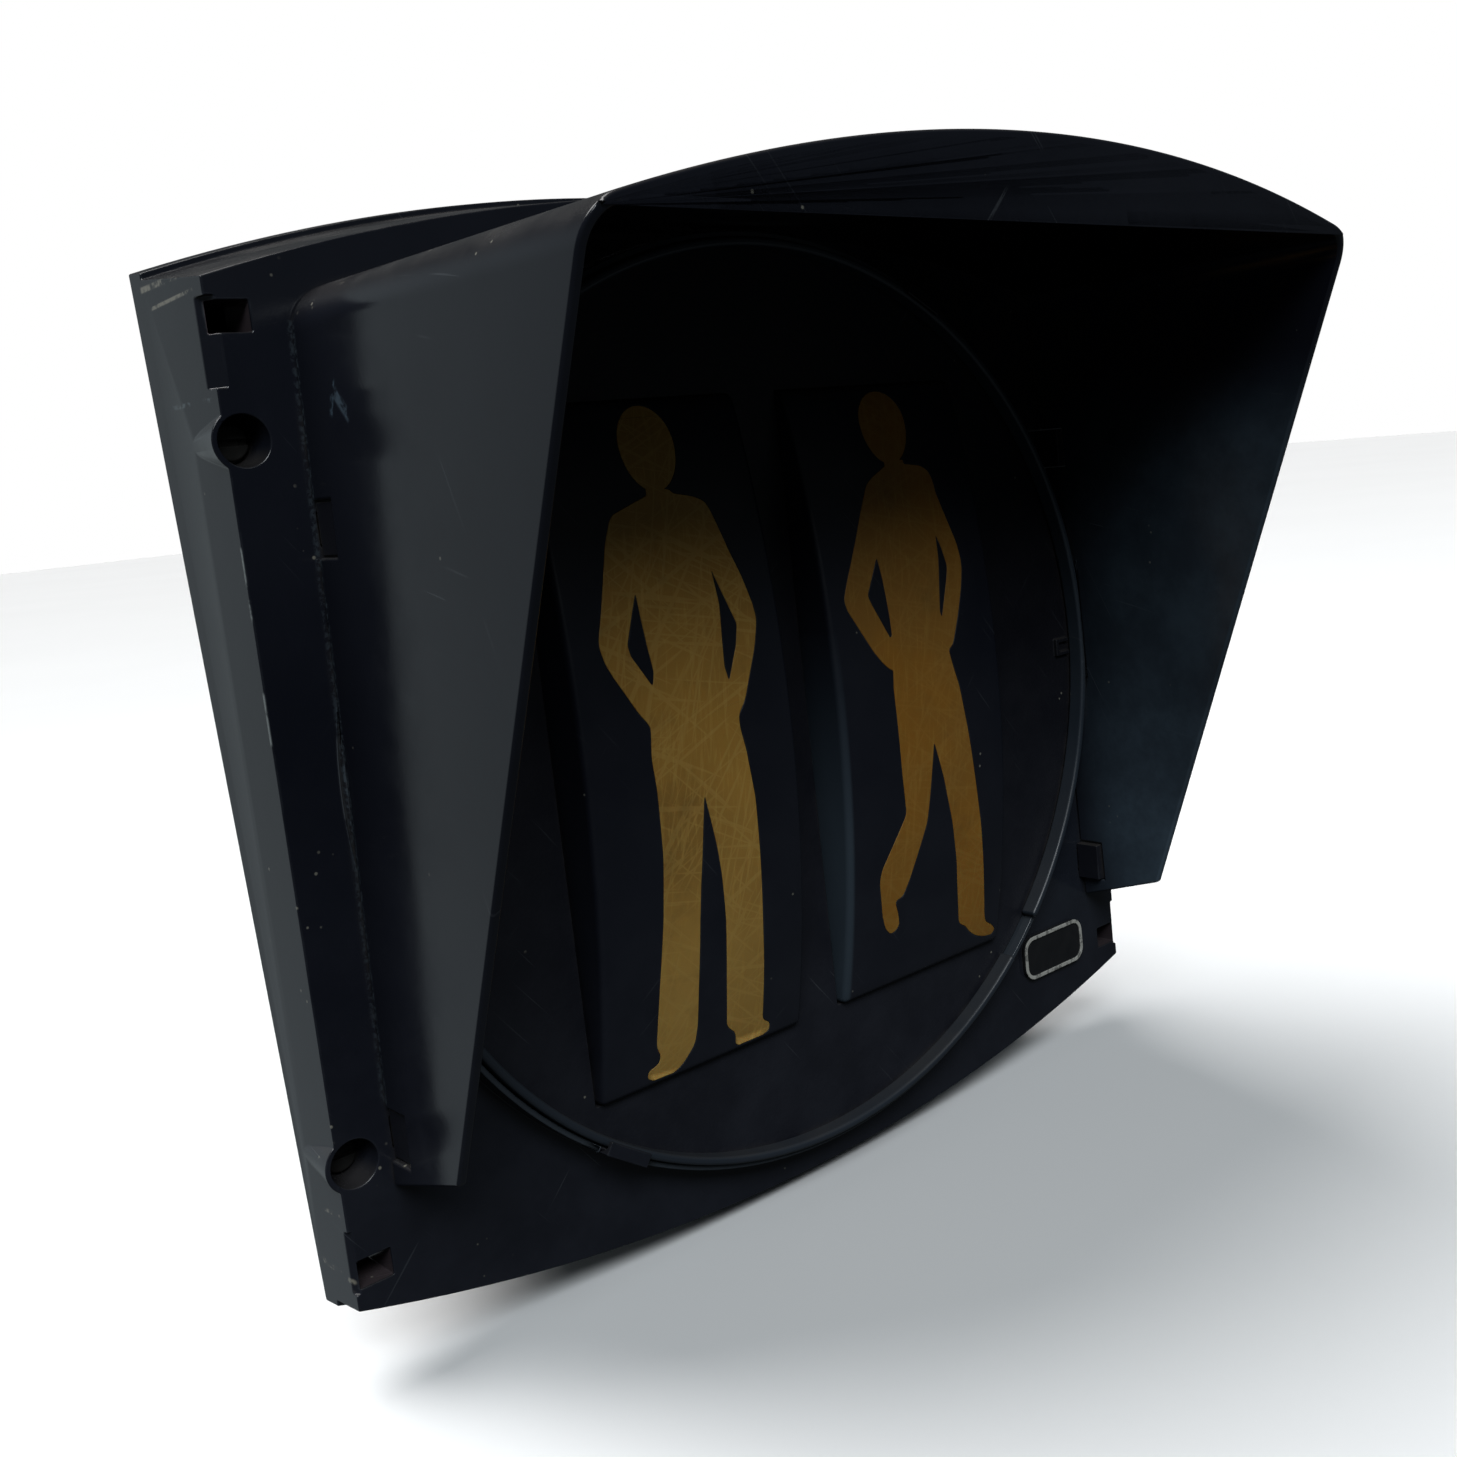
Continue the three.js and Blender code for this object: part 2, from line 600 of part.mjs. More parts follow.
// The whole figure as a prism through the tile, grown by a clearance.
function figurePrism(figure, clearance) {
  const y = [FACE - 30, FACE + 5];
  const [hx, hz, rx, up, down] = figure.head;
  const head = Array.from({ length: 24 }, (_, i) => {
    const a = (i / 24) * 2 * Math.PI;
    const rz = (Math.sin(a) > 0 ? up : down) + clearance;
    return [hx + (rx + clearance) * Math.cos(a), hz + rz * Math.sin(a)];
  });
  const body = join(
    flat(grow(figure.outline, clearance), figure.centre, y),
    flat(head, figure.centre, y),
  );
  return cut(body, ...figure.gaps.map((g) => flat(grow(g, -clearance), figure.centre, y)));
}

// Thin webs that pass behind the arms and hold the dark fields between arm and body.
function armWebs(figure, clearance) {
  return figure.gaps.map((gap, i) => {
    const side = i === 0 ? -1 : 1;
    const [x, z] = gap[2];
    const inner = x - side * 2;
    const ends = [figure.centre + inner, figure.centre + side * WEB_REACH];
    const span = [Math.min(...ends) - clearance, Math.max(...ends) + clearance];
    return block(span, [FACE - 30, FACE + 5], [z - 1 - clearance, z + 1 + clearance]);
  });
}

function mask(side, figure) {
  const shell = cut(tileBlock(side, 0, DISC_BACK + 1), tileBlock(side, MASK_T, 10));
  const layer = cut(tileBlock(side, MASK_T - 0.2, DISC_BACK), tileBlock(side, MASK_T + 0.8, 10));
  const webs = join(...armWebs(figure, 0)).intersect(layer);
  return join(cut(shell, figurePrism(figure, GAP)), webs);
}

// The lens tray with its rear flange; the figure stands up from it to the level of the mask.
function lens(side, figure) {
  const inset = MASK_T + GAP;
  const x = spanOn(side, TILE_X);
  const hollow = tileBlock(side, inset + LENS_T, 20);
  const tray = cut(tileBlock(side, inset, DISC_BACK + 4), hollow);
  const back = [DISC_BACK + 1 + GAP, DISC_BACK + 4];
  const limit = turned([
    [0, back[0] - 1], [FLANGE_R, back[0] - 1], [FLANGE_R, back[1] + 1], [0, back[1] + 1],
  ]);
  const flange = cut(
    block([x[0] - 2.5, x[1] + 2.5], back.map((d) => FACE + d), [TILE_Z[0] - 3, TILE_Z[1] + 3]),
    hollow,
  ).intersect(limit);
  const level = cut(tileBlock(side, 0, 0), tileBlock(side, inset + 0.5, 10));
  const raised = figurePrism(figure, 0).intersect(level);
  const webRoom = cut(
    tileBlock(side, MASK_T - 0.2 - GAP, 0),
    tileBlock(side, MASK_T + 0.8 + GAP, 10),
  );
  const grooves = join(...armWebs(figure, GAP)).intersect(webRoom);
  return cut(join(tray, flange, raised), grooves);
}

function lensDisc() {
  const body = turned([
    [0, DISC_FRONT], [DISC_R, DISC_FRONT], [DISC_R, DISC_FRONT + 1.5],
    [OPENING_R - 0.5, DISC_FRONT + 1.5], [OPENING_R - 0.5, DISC_BACK], [0, DISC_BACK],
  ]);
  const high = [TILE_Z[0] - GAP, TILE_Z[1] + GAP];
  const windows = [-1, 1].map((side) => {
    const x = spanOn(side, TILE_X);
    return block([x[0] - GAP, x[1] + GAP], [FACE - 10, FACE + 10], high);
  });
  const front = FACE + DISC_FRONT;
  const key = cut(
    block(KEY_X, [front - 1.2, front + 0.5], KEY_Z),
    block([KEY_X[0] + 1.2, KEY_X[1] + 1], [front - 2, front], [KEY_Z[0] + 1.2, KEY_Z[1] - 1.2]),
  );
  return join(cut(body, ...windows), key);
}

function lensGasket() {
  return turned([
    [OPENING_R + 0.6, -GAP], [DISC_R - 0.5, -GAP],
    [DISC_R - 0.5, DISC_FRONT + 1.5 + GAP], [OPENING_R + 0.6, DISC_FRONT + 1.5 + GAP],
  ]);
}

function retainingRing() {
  const ring = turned([
    [RING_R - RING_T, RING_FRONT], [RING_R, RING_FRONT],
    [RING_R, DISC_FRONT - GAP], [RING_R - RING_T, DISC_FRONT - GAP],
  ], 0, 0, 60);
  const wedge = RING_GAP.map((degrees) => {
    const a = THREE.MathUtils.degToRad(degrees);
    return [150 * Math.cos(a), 150 * Math.sin(a)];
  });
  return cut(ring, prismY(toVectors([[0, 0], ...wedge]), [FACE - 20, FACE + 5]));
}

// A blank plate with a raised border, in the lower right corner of the door.
function emblemPlate() {
  const [w, h] = EMBLEM_HALF;
  const outline = (inset) => (
    roundedBox(w - inset, h - inset, EMBLEM_CORNER - inset, 4, EMBLEM_AT)
  );
  return cut(
    prismY(outline(0), [FACE - 1.6, FACE - GAP]),
    prismY(outline(EMBLEM_BORDER), [FACE - 5, FACE - 1.1]),
  );
}

// ---- Rim gasket ----
function rimGasket() {
  const band = cut(
    prismY(doorOutline(1.4, 24), [FACE, FACE + 60], { flare: FLARE }),
    prismY(doorOutline(WALL - 0.2, 22), [FACE - 1, FACE + 61], { flare: FLARE }),
  );
  return cut(band, rimBlock(GAP, false), rimBlock(GAP + RIM_SEAL, true));
}

// ---- Captive screws ----
// At rest the cam points up and is free of its catch; a quarter turn takes it behind the lip.
function captiveScrew(z) {
  const seat = FACE + WELL_FLOOR - GAP;
  const top = seat - HEAD_T;
  const slot = block([SCREW_X - 5, SCREW_X + 5], [top - 1, top + 1.2], [z - 0.6, z + 0.6]);
  const camBack = FACE + rimAt(z) - 1.5;
  const cam = block(
    [SCREW_X - SHANK_R, SCREW_X + SHANK_R],
    [FACE + bossEnd(z) + 2.5, camBack],
    [z, z + CAM_LENGTH],
  );
  return join(
    cut(rodY(SCREW_X, z, HEAD_R, [top, seat]), slot),
    rodY(SCREW_X, z, SHANK_R, [seat - 1, camBack]),
    cam,
  );
}

// The catch that the cam turns behind: an arm from the casing flange and a lip.
function latchCatch(z) {
  const lip = FACE + bossEnd(z) + 0.5;
  const seat = RIM_SEAL + 2 * GAP;
  const foot = FACE + rimAt(z - 6) + seat;
  return join(
    block([-118, -106], [lip, lip + CATCH_LIP], [z - 5, z + 5]),
    block([-109, -106], [lip, foot - GAP], [z - 5, z + 5]),
    cut(
      block([-115, -99], [foot - 14, foot + 1], [z - 6, z + 6]),
      rimBlock(seat - 2, false),
      rimBlock(RIM_SEAL + GAP, true),
    ),
  );
}

// ---- Rear casing ----
function rearCasing() {
  const start = FACE + 10;
  const back = FACE + CASE_BACK;
  const tub = prismY(roundedBox(...TUB), [start, back], { taper: CASE_TAPER });
  const [w, h, r] = TUB.map((v) => v - CASE_WALL);
  const reach = (back - CASE_WALL - start + 20) / (back - start + 20);
  const hollow = prismY(roundedBox(w, h, r), [start - 20, back - CASE_WALL], {
    taper: 1 + (CASE_TAPER - 1) * reach,
  });
  const seat = RIM_SEAL + 2 * GAP;
  const flange = cut(
    prismY(doorOutline(2.4, 26), [FACE, FACE + 70], { flare: FLARE }),
    rimBlock(seat, false),
    rimBlock(seat + FLANGE_T, true),
  );
  let body = join(cut(tub, rimBlock(seat, false)), flange);
  body = cut(body, hollow);
  body = join(body, rodZ(0, FACE + GLAND_D, GLAND_R + 5, GLAND_WALL), ...caseLugs(), ...bracketPosts());
  return cut(body, ...boltHoles(), glandHole(), ...postHoles(), ...fixingSlots());
}

function caseLugs() {
  return [HINGE_Z, -HINGE_Z].map((z) => {
    const top = z - LUG_H / 2 - 0.4;
    const high = [top - 8, top];
    const seat = FACE + rimAt(z) + RIM_SEAL + 2 * GAP;
    const foot = block([HALF_W - 6, HINGE_X + BARREL_R], [seat + 0.5, seat + FLANGE_T], high);
    const link = block([HALF_W + 0.6, HINGE_X + BARREL_R],
      [Math.min(seat, FACE + HINGE_D), Math.max(seat + FLANGE_T, FACE + HINGE_D)], high);
    const barrel = rodZ(HINGE_X, FACE + HINGE_D, BARREL_R, high, 16);
    const bore = rodZ(HINGE_X, FACE + HINGE_D, PIN_R + GAP, [z - 30, z + 30], 20);
    return cut(join(foot, link, barrel), bore);
  });
}

function boltHoles() {
  const y = [FACE + CASE_BACK - 8, FACE + CASE_BACK + 1];
  return BOLTS.map(([x, z]) => rodY(x, z, BOLT_R + GAP, y, 12));
}

function bracketPosts() {
  return POSTS.map(([x, z]) => rodY(x, z, 5, [FACE + POST_FRONT, FACE + CASE_BACK - 1], 12));
}

function postHoles() {
  const y = [FACE + POST_FRONT - 1, FACE + POST_FRONT + 12];
  return POSTS.map(([x, z]) => rodY(x, z, 2 + GAP, y, 10));
}

function glandHole() {
  return rodZ(0, FACE + GLAND_D, GLAND_R + 0.4, [-100, -70]);
}

// Slots for the fixings, through the mounting plate and the rear wall.
function fixingSlots() {
  const [w, h] = SLOT_SIZE;
  return SLOT_Z.map((z) => block([-w / 2, w / 2], [-20, 5], [z - h / 2, z + h / 2]));
}

function mountPlate() {
  const [w, h] = PAD;
  const plate = prismY(roundedBox(w / 2, h / 2, 8), [FACE + CASE_BACK + GAP, 0]);
  const bores = BOLTS.map(([x, z]) => rodY(x, z, BOLT_R + GAP, [-8, -2.5], 12));
  return cut(plate, ...bores, ...fixingSlots());
}

function mountBolt([x, z]) {
  const front = FACE + CASE_BACK - CASE_WALL - GAP;
  const head = new THREE.CylinderGeometry(7.5, 7.5, 5.3, 6).translate(x, front - 2.65, z);
  return join(rodY(x, z, BOLT_R, [front - 1, -3], 12), solid(head));
}

// ---- Lamps ----
// A sheet bracket that carries both lampholders, screwed to four posts of the casing.
function lampBracket() {
  const y = [FACE + BRACKET_FRONT, FACE + BRACKET_D];
  const bore = [y[0] - 1, y[1] + 1];
  const plate = join(
    block([-82, 82], y, [-38, 38]),
    block([-82, -64], y, [-66, 66]),
    block([64, 82], y, [-66, 66]),
  );
  const holes = [-1, 1].map((side) => rodY(side * CHAMBER_X, 0, HOLDER_R + 0.4, bore, 20));
  const screws = POSTS.map(([x, z]) => rodY(x, z, 2 + GAP, bore, 10));
  return cut(plate, ...holes, ...screws);
}

function bracketScrew([x, z]) {
  const front = FACE + BRACKET_FRONT - GAP;
  return join(
    rodY(x, z, 2, [front - 1, FACE + POST_FRONT + 10], 8),
    rodY(x, z, 4, [front - 2.4, front], 10),
  );
}

// A four-sided parabolic trough; its sides flare to the size of the tile in front.
function reflector(side) {
  const steps = 7;
  const [front, back] = REFLECTOR_D;
  const inner = [];
  for (let i = 0; i <= steps; i += 1) {
    const f = i / steps;
    inner.push([0.45 + 0.55 * Math.sqrt(f), FACE + back - (back - front) * f]);
  }
  const outer = inner.map(([r, y]) => [r + 0.045, y]).reverse();
  const profile = toVectors([...inner, ...outer, inner[0]]);
  const geometry = new THREE.LatheGeometry(profile, 4, Math.PI / 4);
  const [w, h] = REFLECTOR_HALF.map((v) => v * Math.SQRT2);
  const x = side * CHAMBER_X;
  geometry.scale(w, 1, h).translate(x, 0, 0);
  const feet = [-1, 1].map((up) => (
    block([x - 6, x + 6], [FACE + back - 1, FACE + BRACKET_FRONT - GAP], spanOn(up, [31.2, 33.4]))
  ));
  return join(solid(geometry), ...feet);
}

function lampholder(side) {
  const x = side * CHAMBER_X;
  const floor = BRACKET_D - 3;
  const bore = HOLDER_R - 1.4;
  const shell = turned([
    [0, HOLDER_BACK], [HOLDER_R - 2, HOLDER_BACK], [HOLDER_R, HOLDER_BACK - 2],
    [HOLDER_R, REFLECTOR_D[1] + 0.6], [bore, REFLECTOR_D[1] + 0.6], [bore, floor], [0, floor],
  ], x, 0, 20);
  const [front, back] = [BRACKET_D - 5, BRACKET_FRONT - GAP];
  const shoulder = turned([
    [HOLDER_R - 0.4, back], [HOLDER_R + 3.5, back],
    [HOLDER_R + 3.5, front], [HOLDER_R - 0.4, front],
  ], x, 0, 20);
  return join(shell, shoulder);
}

function bulbCap(side) {
  const back = BRACKET_D - 3 - GAP;
  return turned([
    [0, back], [8.6, back], [11, BRACKET_D - 5], [11, CAP_D + 1], [10.2, CAP_D], [0, CAP_D],
  ], side * CHAMBER_X, 0, 16);
}

function bulbGlass(side) {
  const profile = [[0, CAP_D - GAP], [8, CAP_D - GAP]];
  for (let i = 0; i < 8; i += 1) {
    const a = THREE.MathUtils.degToRad(56 - (i / 8) * 146);
    profile.push([BULB_R * Math.cos(a), BULB_D + BULB_R * Math.sin(a)]);
  }
  profile.push([0, BULB_D - BULB_R]);
  return turned(profile, side * CHAMBER_X, 0, 16);
}

// The upright wall that keeps the light of one figure out of the other, cut away at the gland.
function partition() {
  const rear = BRACKET_FRONT - GAP;
  const profile = [[14, 88], [rear, 78], [rear, -64], [66, -64], [66, -84], [14, -88]];
  return prismX(profile.map(([d, z]) => [FACE + d, z]).reverse(), [-1, 1]);
}

// ---- Wiring ----
function terminalBlock() {
  const back = FACE + CASE_BACK - CASE_WALL - GAP;
  const mid = (BLOCK_Z[0] + BLOCK_Z[1]) / 2;
  const body = block(BLOCK_X, [back - 16, back], BLOCK_Z);
  const wells = TERMINALS.map((x) => rodY(x, mid, 2.6, [back - 20, back - 10], 12));
  const between = TERMINALS.slice(1).map((x, i) => (x + TERMINALS[i]) / 2);
  const grooves = between.map((x) => (
    block([x - 0.6, x + 0.6], [back - 20, back - 11], [mid - 30, mid + 11])
  ));
  return cut(body, ...wells, ...grooves);
}

// A twin lead from the rear of a lampholder down to the terminal block.
function lampLead(side) {
  const x = side * CHAMBER_X;
  const end = side * TERMINALS[3];
  const low = HOLDER_BACK + 5.4;
  const route = new THREE.CatmullRomCurve3([
    [x, HOLDER_BACK + 2 * GAP, -4], [x, HOLDER_BACK + 3, -4.6], [x, low, -9], [x, low, -18],
    [side * 29, low, -32], [end, 93.5, -45], [end, 92.7, BLOCK_Z[1] + GAP],
  ].map(([px, d, z]) => new THREE.Vector3(px, FACE + d, z)));
  const section = new THREE.Shape();
  section.absarc(0, 0, LEAD_R, 0, 2 * Math.PI);
  const settings = { steps: 14, curveSegments: 4, extrudePath: route, bevelEnabled: false };
  return solid(new THREE.ExtrudeGeometry(section, settings));
}

function cableGland() {
  const y = FACE + GLAND_D;
  const [low, high] = GLAND_WALL;
  const hex = new THREE.CylinderGeometry(11.5, 11.5, 6, 6).rotateX(Math.PI / 2);
  const body = join(
    rodZ(0, y, GLAND_R, [low - 12, high + 5]),
    solid(hex.translate(0, y, low - GAP - 3)),
    rodZ(0, y, 9.5, [low - 15, low - 6]),
  );
  return cut(body, rodZ(0, y, GLAND_BORE, [low - 30, high + 30], 12));
}

function glandNut() {
  const y = FACE + GLAND_D;
  const nut = new THREE.CylinderGeometry(11.5, 11.5, 4, 6).rotateX(Math.PI / 2);
  nut.translate(0, y, GLAND_WALL[1] + GAP + 2);
  return cut(solid(nut), rodZ(0, y, GLAND_R + GAP, [-90, -60]));
}

// ---- Hinge pins ----
function hingePin(z) {
  const y = FACE + HINGE_D;
  const low = z - LUG_H / 2 - 8.2;
  const high = z + LUG_H / 2 + 0.4;
  return join(
    rodZ(HINGE_X, y, PIN_R, [low, high + 0.5], 20),
    rodZ(HINGE_X, y, 4, [high, high + 2.2], 20),
  );
}

// ---- Assembly ----
add('door_frame', doorFrame(), navy);
add('hood', hood(), navy);
for (const [side, z] of clipPlaces()) {
  const name = `hood_clip_${side < 0 ? 'left' : 'right'}_${z > 0 ? 'upper' : 'lower'}`;
  add(name, hoodClip(side, z), black);
}
add('lens_disc', lensDisc(), black);
add('lens_gasket', lensGasket(), rubber);
add('retaining_ring', retainingRing(), navy);
add('standing_mask', mask(-1, STANDING), black);
add('standing_lens', lens(-1, STANDING), amber);
add('walking_mask', mask(1, WALKING), black);
add('walking_lens', lens(1, WALKING), amber);
add('emblem_plate', emblemPlate(), white);
add('rim_gasket', rimGasket(), rubber);
add('screw_upper', captiveScrew(SCREW_Z), blackened);
add('screw_lower', captiveScrew(-SCREW_Z), blackened);
add('catch_upper', latchCatch(SCREW_Z), steel);
add('catch_lower', latchCatch(-SCREW_Z), steel);
add('hinge_pin_upper', hingePin(HINGE_Z), steel);
add('hinge_pin_lower', hingePin(-HINGE_Z), steel);
add('rear_casing', rearCasing(), navy);
add('mount_plate', mountPlate(), steel);
BOLTS.forEach((place, i) => add(`mount_bolt_${i + 1}`, mountBolt(place), steel));
add('lamp_bracket', lampBracket(), steel);
POSTS.forEach((place, i) => add(`bracket_screw_${i + 1}`, bracketScrew(place), steel));
for (const [name, side] of [['standing', -1], ['walking', 1]]) {
  add(`${name}_reflector`, reflector(side), mirror);
  add(`${name}_lampholder`, lampholder(side), cream);
  add(`${name}_bulb_cap`, bulbCap(side), brass);
  add(`${name}_bulb_glass`, bulbGlass(side), glass);
  add(`${name}_lead`, lampLead(side), black);
}
add('partition', partition(), black);
add('terminal_block', terminalBlock(), cream);
add('cable_gland', cableGland(), black);
add('gland_nut', glandNut(), black);

export default group;
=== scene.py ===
"""Pedestrian signal head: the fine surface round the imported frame, its materials and studio."""

import math

import bmesh
import bpy
from mathutils import Matrix, Vector


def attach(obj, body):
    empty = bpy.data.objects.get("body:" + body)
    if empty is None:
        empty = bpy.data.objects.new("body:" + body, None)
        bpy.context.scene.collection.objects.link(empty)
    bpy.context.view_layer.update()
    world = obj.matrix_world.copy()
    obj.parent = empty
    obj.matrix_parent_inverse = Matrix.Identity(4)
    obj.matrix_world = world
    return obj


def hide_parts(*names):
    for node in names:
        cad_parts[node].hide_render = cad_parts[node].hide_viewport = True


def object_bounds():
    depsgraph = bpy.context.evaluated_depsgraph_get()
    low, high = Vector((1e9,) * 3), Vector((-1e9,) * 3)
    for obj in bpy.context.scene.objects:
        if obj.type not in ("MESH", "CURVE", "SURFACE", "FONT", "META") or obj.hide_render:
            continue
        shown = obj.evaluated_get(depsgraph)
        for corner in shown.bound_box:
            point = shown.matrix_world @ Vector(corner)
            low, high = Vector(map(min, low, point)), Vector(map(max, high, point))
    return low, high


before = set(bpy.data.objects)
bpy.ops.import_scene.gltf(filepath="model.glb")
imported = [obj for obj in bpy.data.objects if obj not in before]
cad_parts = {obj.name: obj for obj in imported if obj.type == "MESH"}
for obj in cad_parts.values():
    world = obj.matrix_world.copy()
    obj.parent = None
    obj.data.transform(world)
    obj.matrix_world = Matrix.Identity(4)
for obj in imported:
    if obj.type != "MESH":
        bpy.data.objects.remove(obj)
cad_low, cad_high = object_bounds()

MM = 0.001
scene = bpy.context.scene
scene.view_settings.view_transform = "Standard"

# ---- Driving dimensions in millimetres, as the frame has them; d is depth behind the face ----
FACE = -112.0
GAP = 0.3
BIG = 400.0
HALF_W, SIDE_H, RISE = 125.0, 103.0, 18.3
WALL, PLATE, FLARE = 4.0, 3.5, 0.001
RIM_D, RIM_SLOPE = 25.5, 0.0868
OPENING_R, COLLAR_R, COLLAR_T, COLLAR_H = 106.5, 111.5, 1.3, 6.5
KEEPER_ANGLES, KEEPER_R, KEEPER_H, KEEPER_HALF = (-125, 125, 60), 109.6, 10.05, 6.0
LIP_T, LIP_W = 1.2, 6.0
SOCKET_X, SOCKET_Z, SOCKET_DEPTH, SLEEVE_T = (116.6, 124.0), (92.6, 98.6), 12.0, 1.6
CHAMFERS = (((82.5, 99.5), 4.4, 2.2), ((-99.5, -86.0), 1.8, 1.0))
DISC_R, DISC_FRONT, DISC_BACK, DISC_FLANGE = 111.0, -3.3, 1.5, 1.5
RING_R, RING_T, RING_FRONT, RING_GAP = 111.2, 2.0, -8.6, (-51, -44)
TILE_X, TILE_Z, TILE_EDGE, TILE_CROWN = (7.35, 66.45), (-80.1, 75.3), -5.5, 9.6
MASK_T, LENS_T, FLANGE_R, EDGE_SOFT, FIGURE_GAP = 1.2, 2.0, 105.0, 1.5, 0.06
KEY_X, KEY_Z = (103.0, 108.6), (-5.5, -0.5)
EMBLEM_AT, EMBLEM_HALF, EMBLEM_CORNER, EMBLEM_BORDER = (94.5, -92.2), (13.0, 6.4), 4.0, 1.1
HOOD_HALF, HOOD_T, HOOD_TOP, HOOD_RISE, HOOD_CORNER = 114.0, 2.2, 99.0, 16.5, 9.0
HOOD_FOOT, HOOD_LEAN = -76.0, 0.00024
HOOD_REACH, HOOD_LIFT, HOOD_LOW, HOOD_LOW_REACH = 102.0, 0.01, (-80.3, -72.8), 27.8
TIP_ROOM = 0.25  # the rounded corners of the tip bulge this much, and stay inside the CAD model's box
CLIP_Z, CLIP_H, CLIP_X, PRONG_X = (54.5, -69.0), 10.5, (-4.0, -0.8), (-3.4, -1.2)
SCREW_X, SCREW_Z = -121.3, 72.5
WELL_R, WELL_FLOOR, BULGE_R, BULGE_D = (5.0, 4.1), 9.0, (6.2, 3.7), 16.0
BOSS_R, HEAD_R, HEAD_T, SHANK_R, CAM_LENGTH, CATCH_LIP = 6.4, 3.6, 2.0, 2.0, 9.0, 1.6
CATCH_LIP_X, CATCH_WEB_X, CATCH_FOOT_X = (-118.0, -106.0), (-109.0, -106.0), (-115.0, -99.0)
HINGE_X, HINGE_D, PIN_R, PIN_CLEARANCE, BARREL_R, LUG_H, HINGE_Z = 130.5, 27.0, 2.5, 0.08, 5.0, 9.0, 75.0
CASE_WALL, CASE_BACK, CASE_TAPER, FLANGE_T, RIM_SEAL = 3.0, 104.0, 0.76, 3.0, 1.5
TUB, PAD = (112.0, 104.0, 26.0), (120.0, 130.0)
SLOT_Z, SLOT_SIZE = (-40.0, 40.0), (10.0, 18.0)
CORNER_STEPS, ARC_STEPS, ROUND = 10, 28, 160
BOLTS, BOLT_R = ((-44, -48), (-44, 48), (44, -48), (44, 48)), 4.0
POSTS, POST_FRONT = ((-74, -58), (-74, 58), (74, -58), (74, 58)), 84.0
GLAND_D, GLAND_R, GLAND_BORE, GLAND_WALL = 84.0, 8.0, 4.5, (-88.0, -77.0)
CHAMBER_X, BRACKET_T, BRACKET_X, BRACKET_Z = 36.9, 1.6, (64.0, 82.0), (38.0, 66.0)
BRACKET_D = POST_FRONT - GAP
BRACKET_FRONT = BRACKET_D - BRACKET_T
HOLDER_R, HOLDER_BACK = 13.0, BRACKET_D + 8.0
REFLECTOR_D, REFLECTOR_HALF = (20.0, 70.0), (26.4, 70.0)
BULB_R, BULB_D, CAP_D = 14.5, 44.0, 61.0
BLOCK_X, BLOCK_Z, TERMINALS, LEAD_R = (-26.0, 26.0), (-68.0, -54.0), (-19.5, -6.5, 6.5, 19.5), 1.6


# ---- Solids in mesh code ----
def make(name, points, faces):
    """A mesh object from points in millimetres."""
    mesh = bpy.data.meshes.new(name)
    mesh.from_pydata([(x * MM, y * MM, z * MM) for x, y, z in points], [], faces)
    mesh.update()
    obj = bpy.data.objects.new(name, mesh)
    scene.collection.objects.link(obj)
    return obj


def loft(rings, closed=False):
    """A solid through rings of equal length: its ends are capped, or its last ring joins the first."""
    n, count = len(rings[0]), len(rings)
    points = [p for ring in rings for p in ring]
    faces = [] if closed else [tuple(reversed(range(n)))]
    for k in range(count if closed else count - 1):
        a, b = k * n, (k + 1) % count * n
        faces += [(a + i, a + (i + 1) % n, b + (i + 1) % n, b + i) for i in range(n)]
    if not closed:
        faces.append(tuple(range((count - 1) * n, count * n)))
    return outward(make("solid", points, faces))


def outward(obj):
    """Turns the faces of a closed solid outwards."""
    bm = bmesh.new()
    bm.from_mesh(obj.data)
    if bm.calc_volume(signed=True) < 0:
        bmesh.ops.reverse_faces(bm, faces=bm.faces)
    bm.to_mesh(obj.data)
    bm.free()
    return obj


def prism_y(outline, y0, y1, flare=0.0, taper=1.0):
    """A front-view outline as a solid; it can grow in height with depth, or shrink towards its far end."""
    rings = []
    for y, s in ((y0, 1.0), (y1, taper)):
        rings.append([(x * s, y, z * s * (1 + flare * (y - FACE))) for x, z in outline])
    return loft(rings)


def prism_x(outline, x0, x1):
    """A side-view outline of (y, z) as a solid."""
    return loft([[(x, y, z) for y, z in outline] for x in (x0, x1)])


def block(xs, ys, zs):
    outline = [(xs[0], zs[0]), (xs[1], zs[0]), (xs[1], zs[1]), (xs[0], zs[1])]
    return prism_y(outline, *ys)


def circle(x, z, r, sides=48, turn=0.0):
    angles = [2 * math.pi * (i + turn) / sides for i in range(sides)]
    return [(x + r * math.cos(a), z + r * math.sin(a)) for a in angles]


def rod_y(x, z, r, y0, y1, sides=48):
    return prism_y(circle(x, z, r, sides), y0, y1)


def rod_z(x, y, r, z0, z1, sides=48, turn=0.0):
    ring = circle(x, y, r, sides, turn)
    return loft([[(u, v, z) for u, v in ring] for z in (z0, z1)])


def turned(profile, x=0.0, z=0.0, sides=96):
    """A profile of (radius, depth) turned about the Y axis through x, z."""
    points, faces, where = [], [], []
    for r, d in profile:
        if r == 0:
            where.append([len(points)] * sides)
            points.append((x, FACE + d, z))
        else:
            where.append(list(range(len(points), len(points) + sides)))
            points += [(u, FACE + d, v) for u, v in circle(x, z, r, sides)]
    n = len(profile)
    last = n - 1 if profile[0][0] == 0 and profile[-1][0] == 0 else n
    for k in range(last):
        a, b = where[k], where[(k + 1) % n]
        for i in range(sides):
            j = (i + 1) % sides
            face = tuple(dict.fromkeys((a[i], a[j], b[j], b[i])))
            if len(face) > 2:
                faces.append(face)
    return outward(make("turned", points, faces))


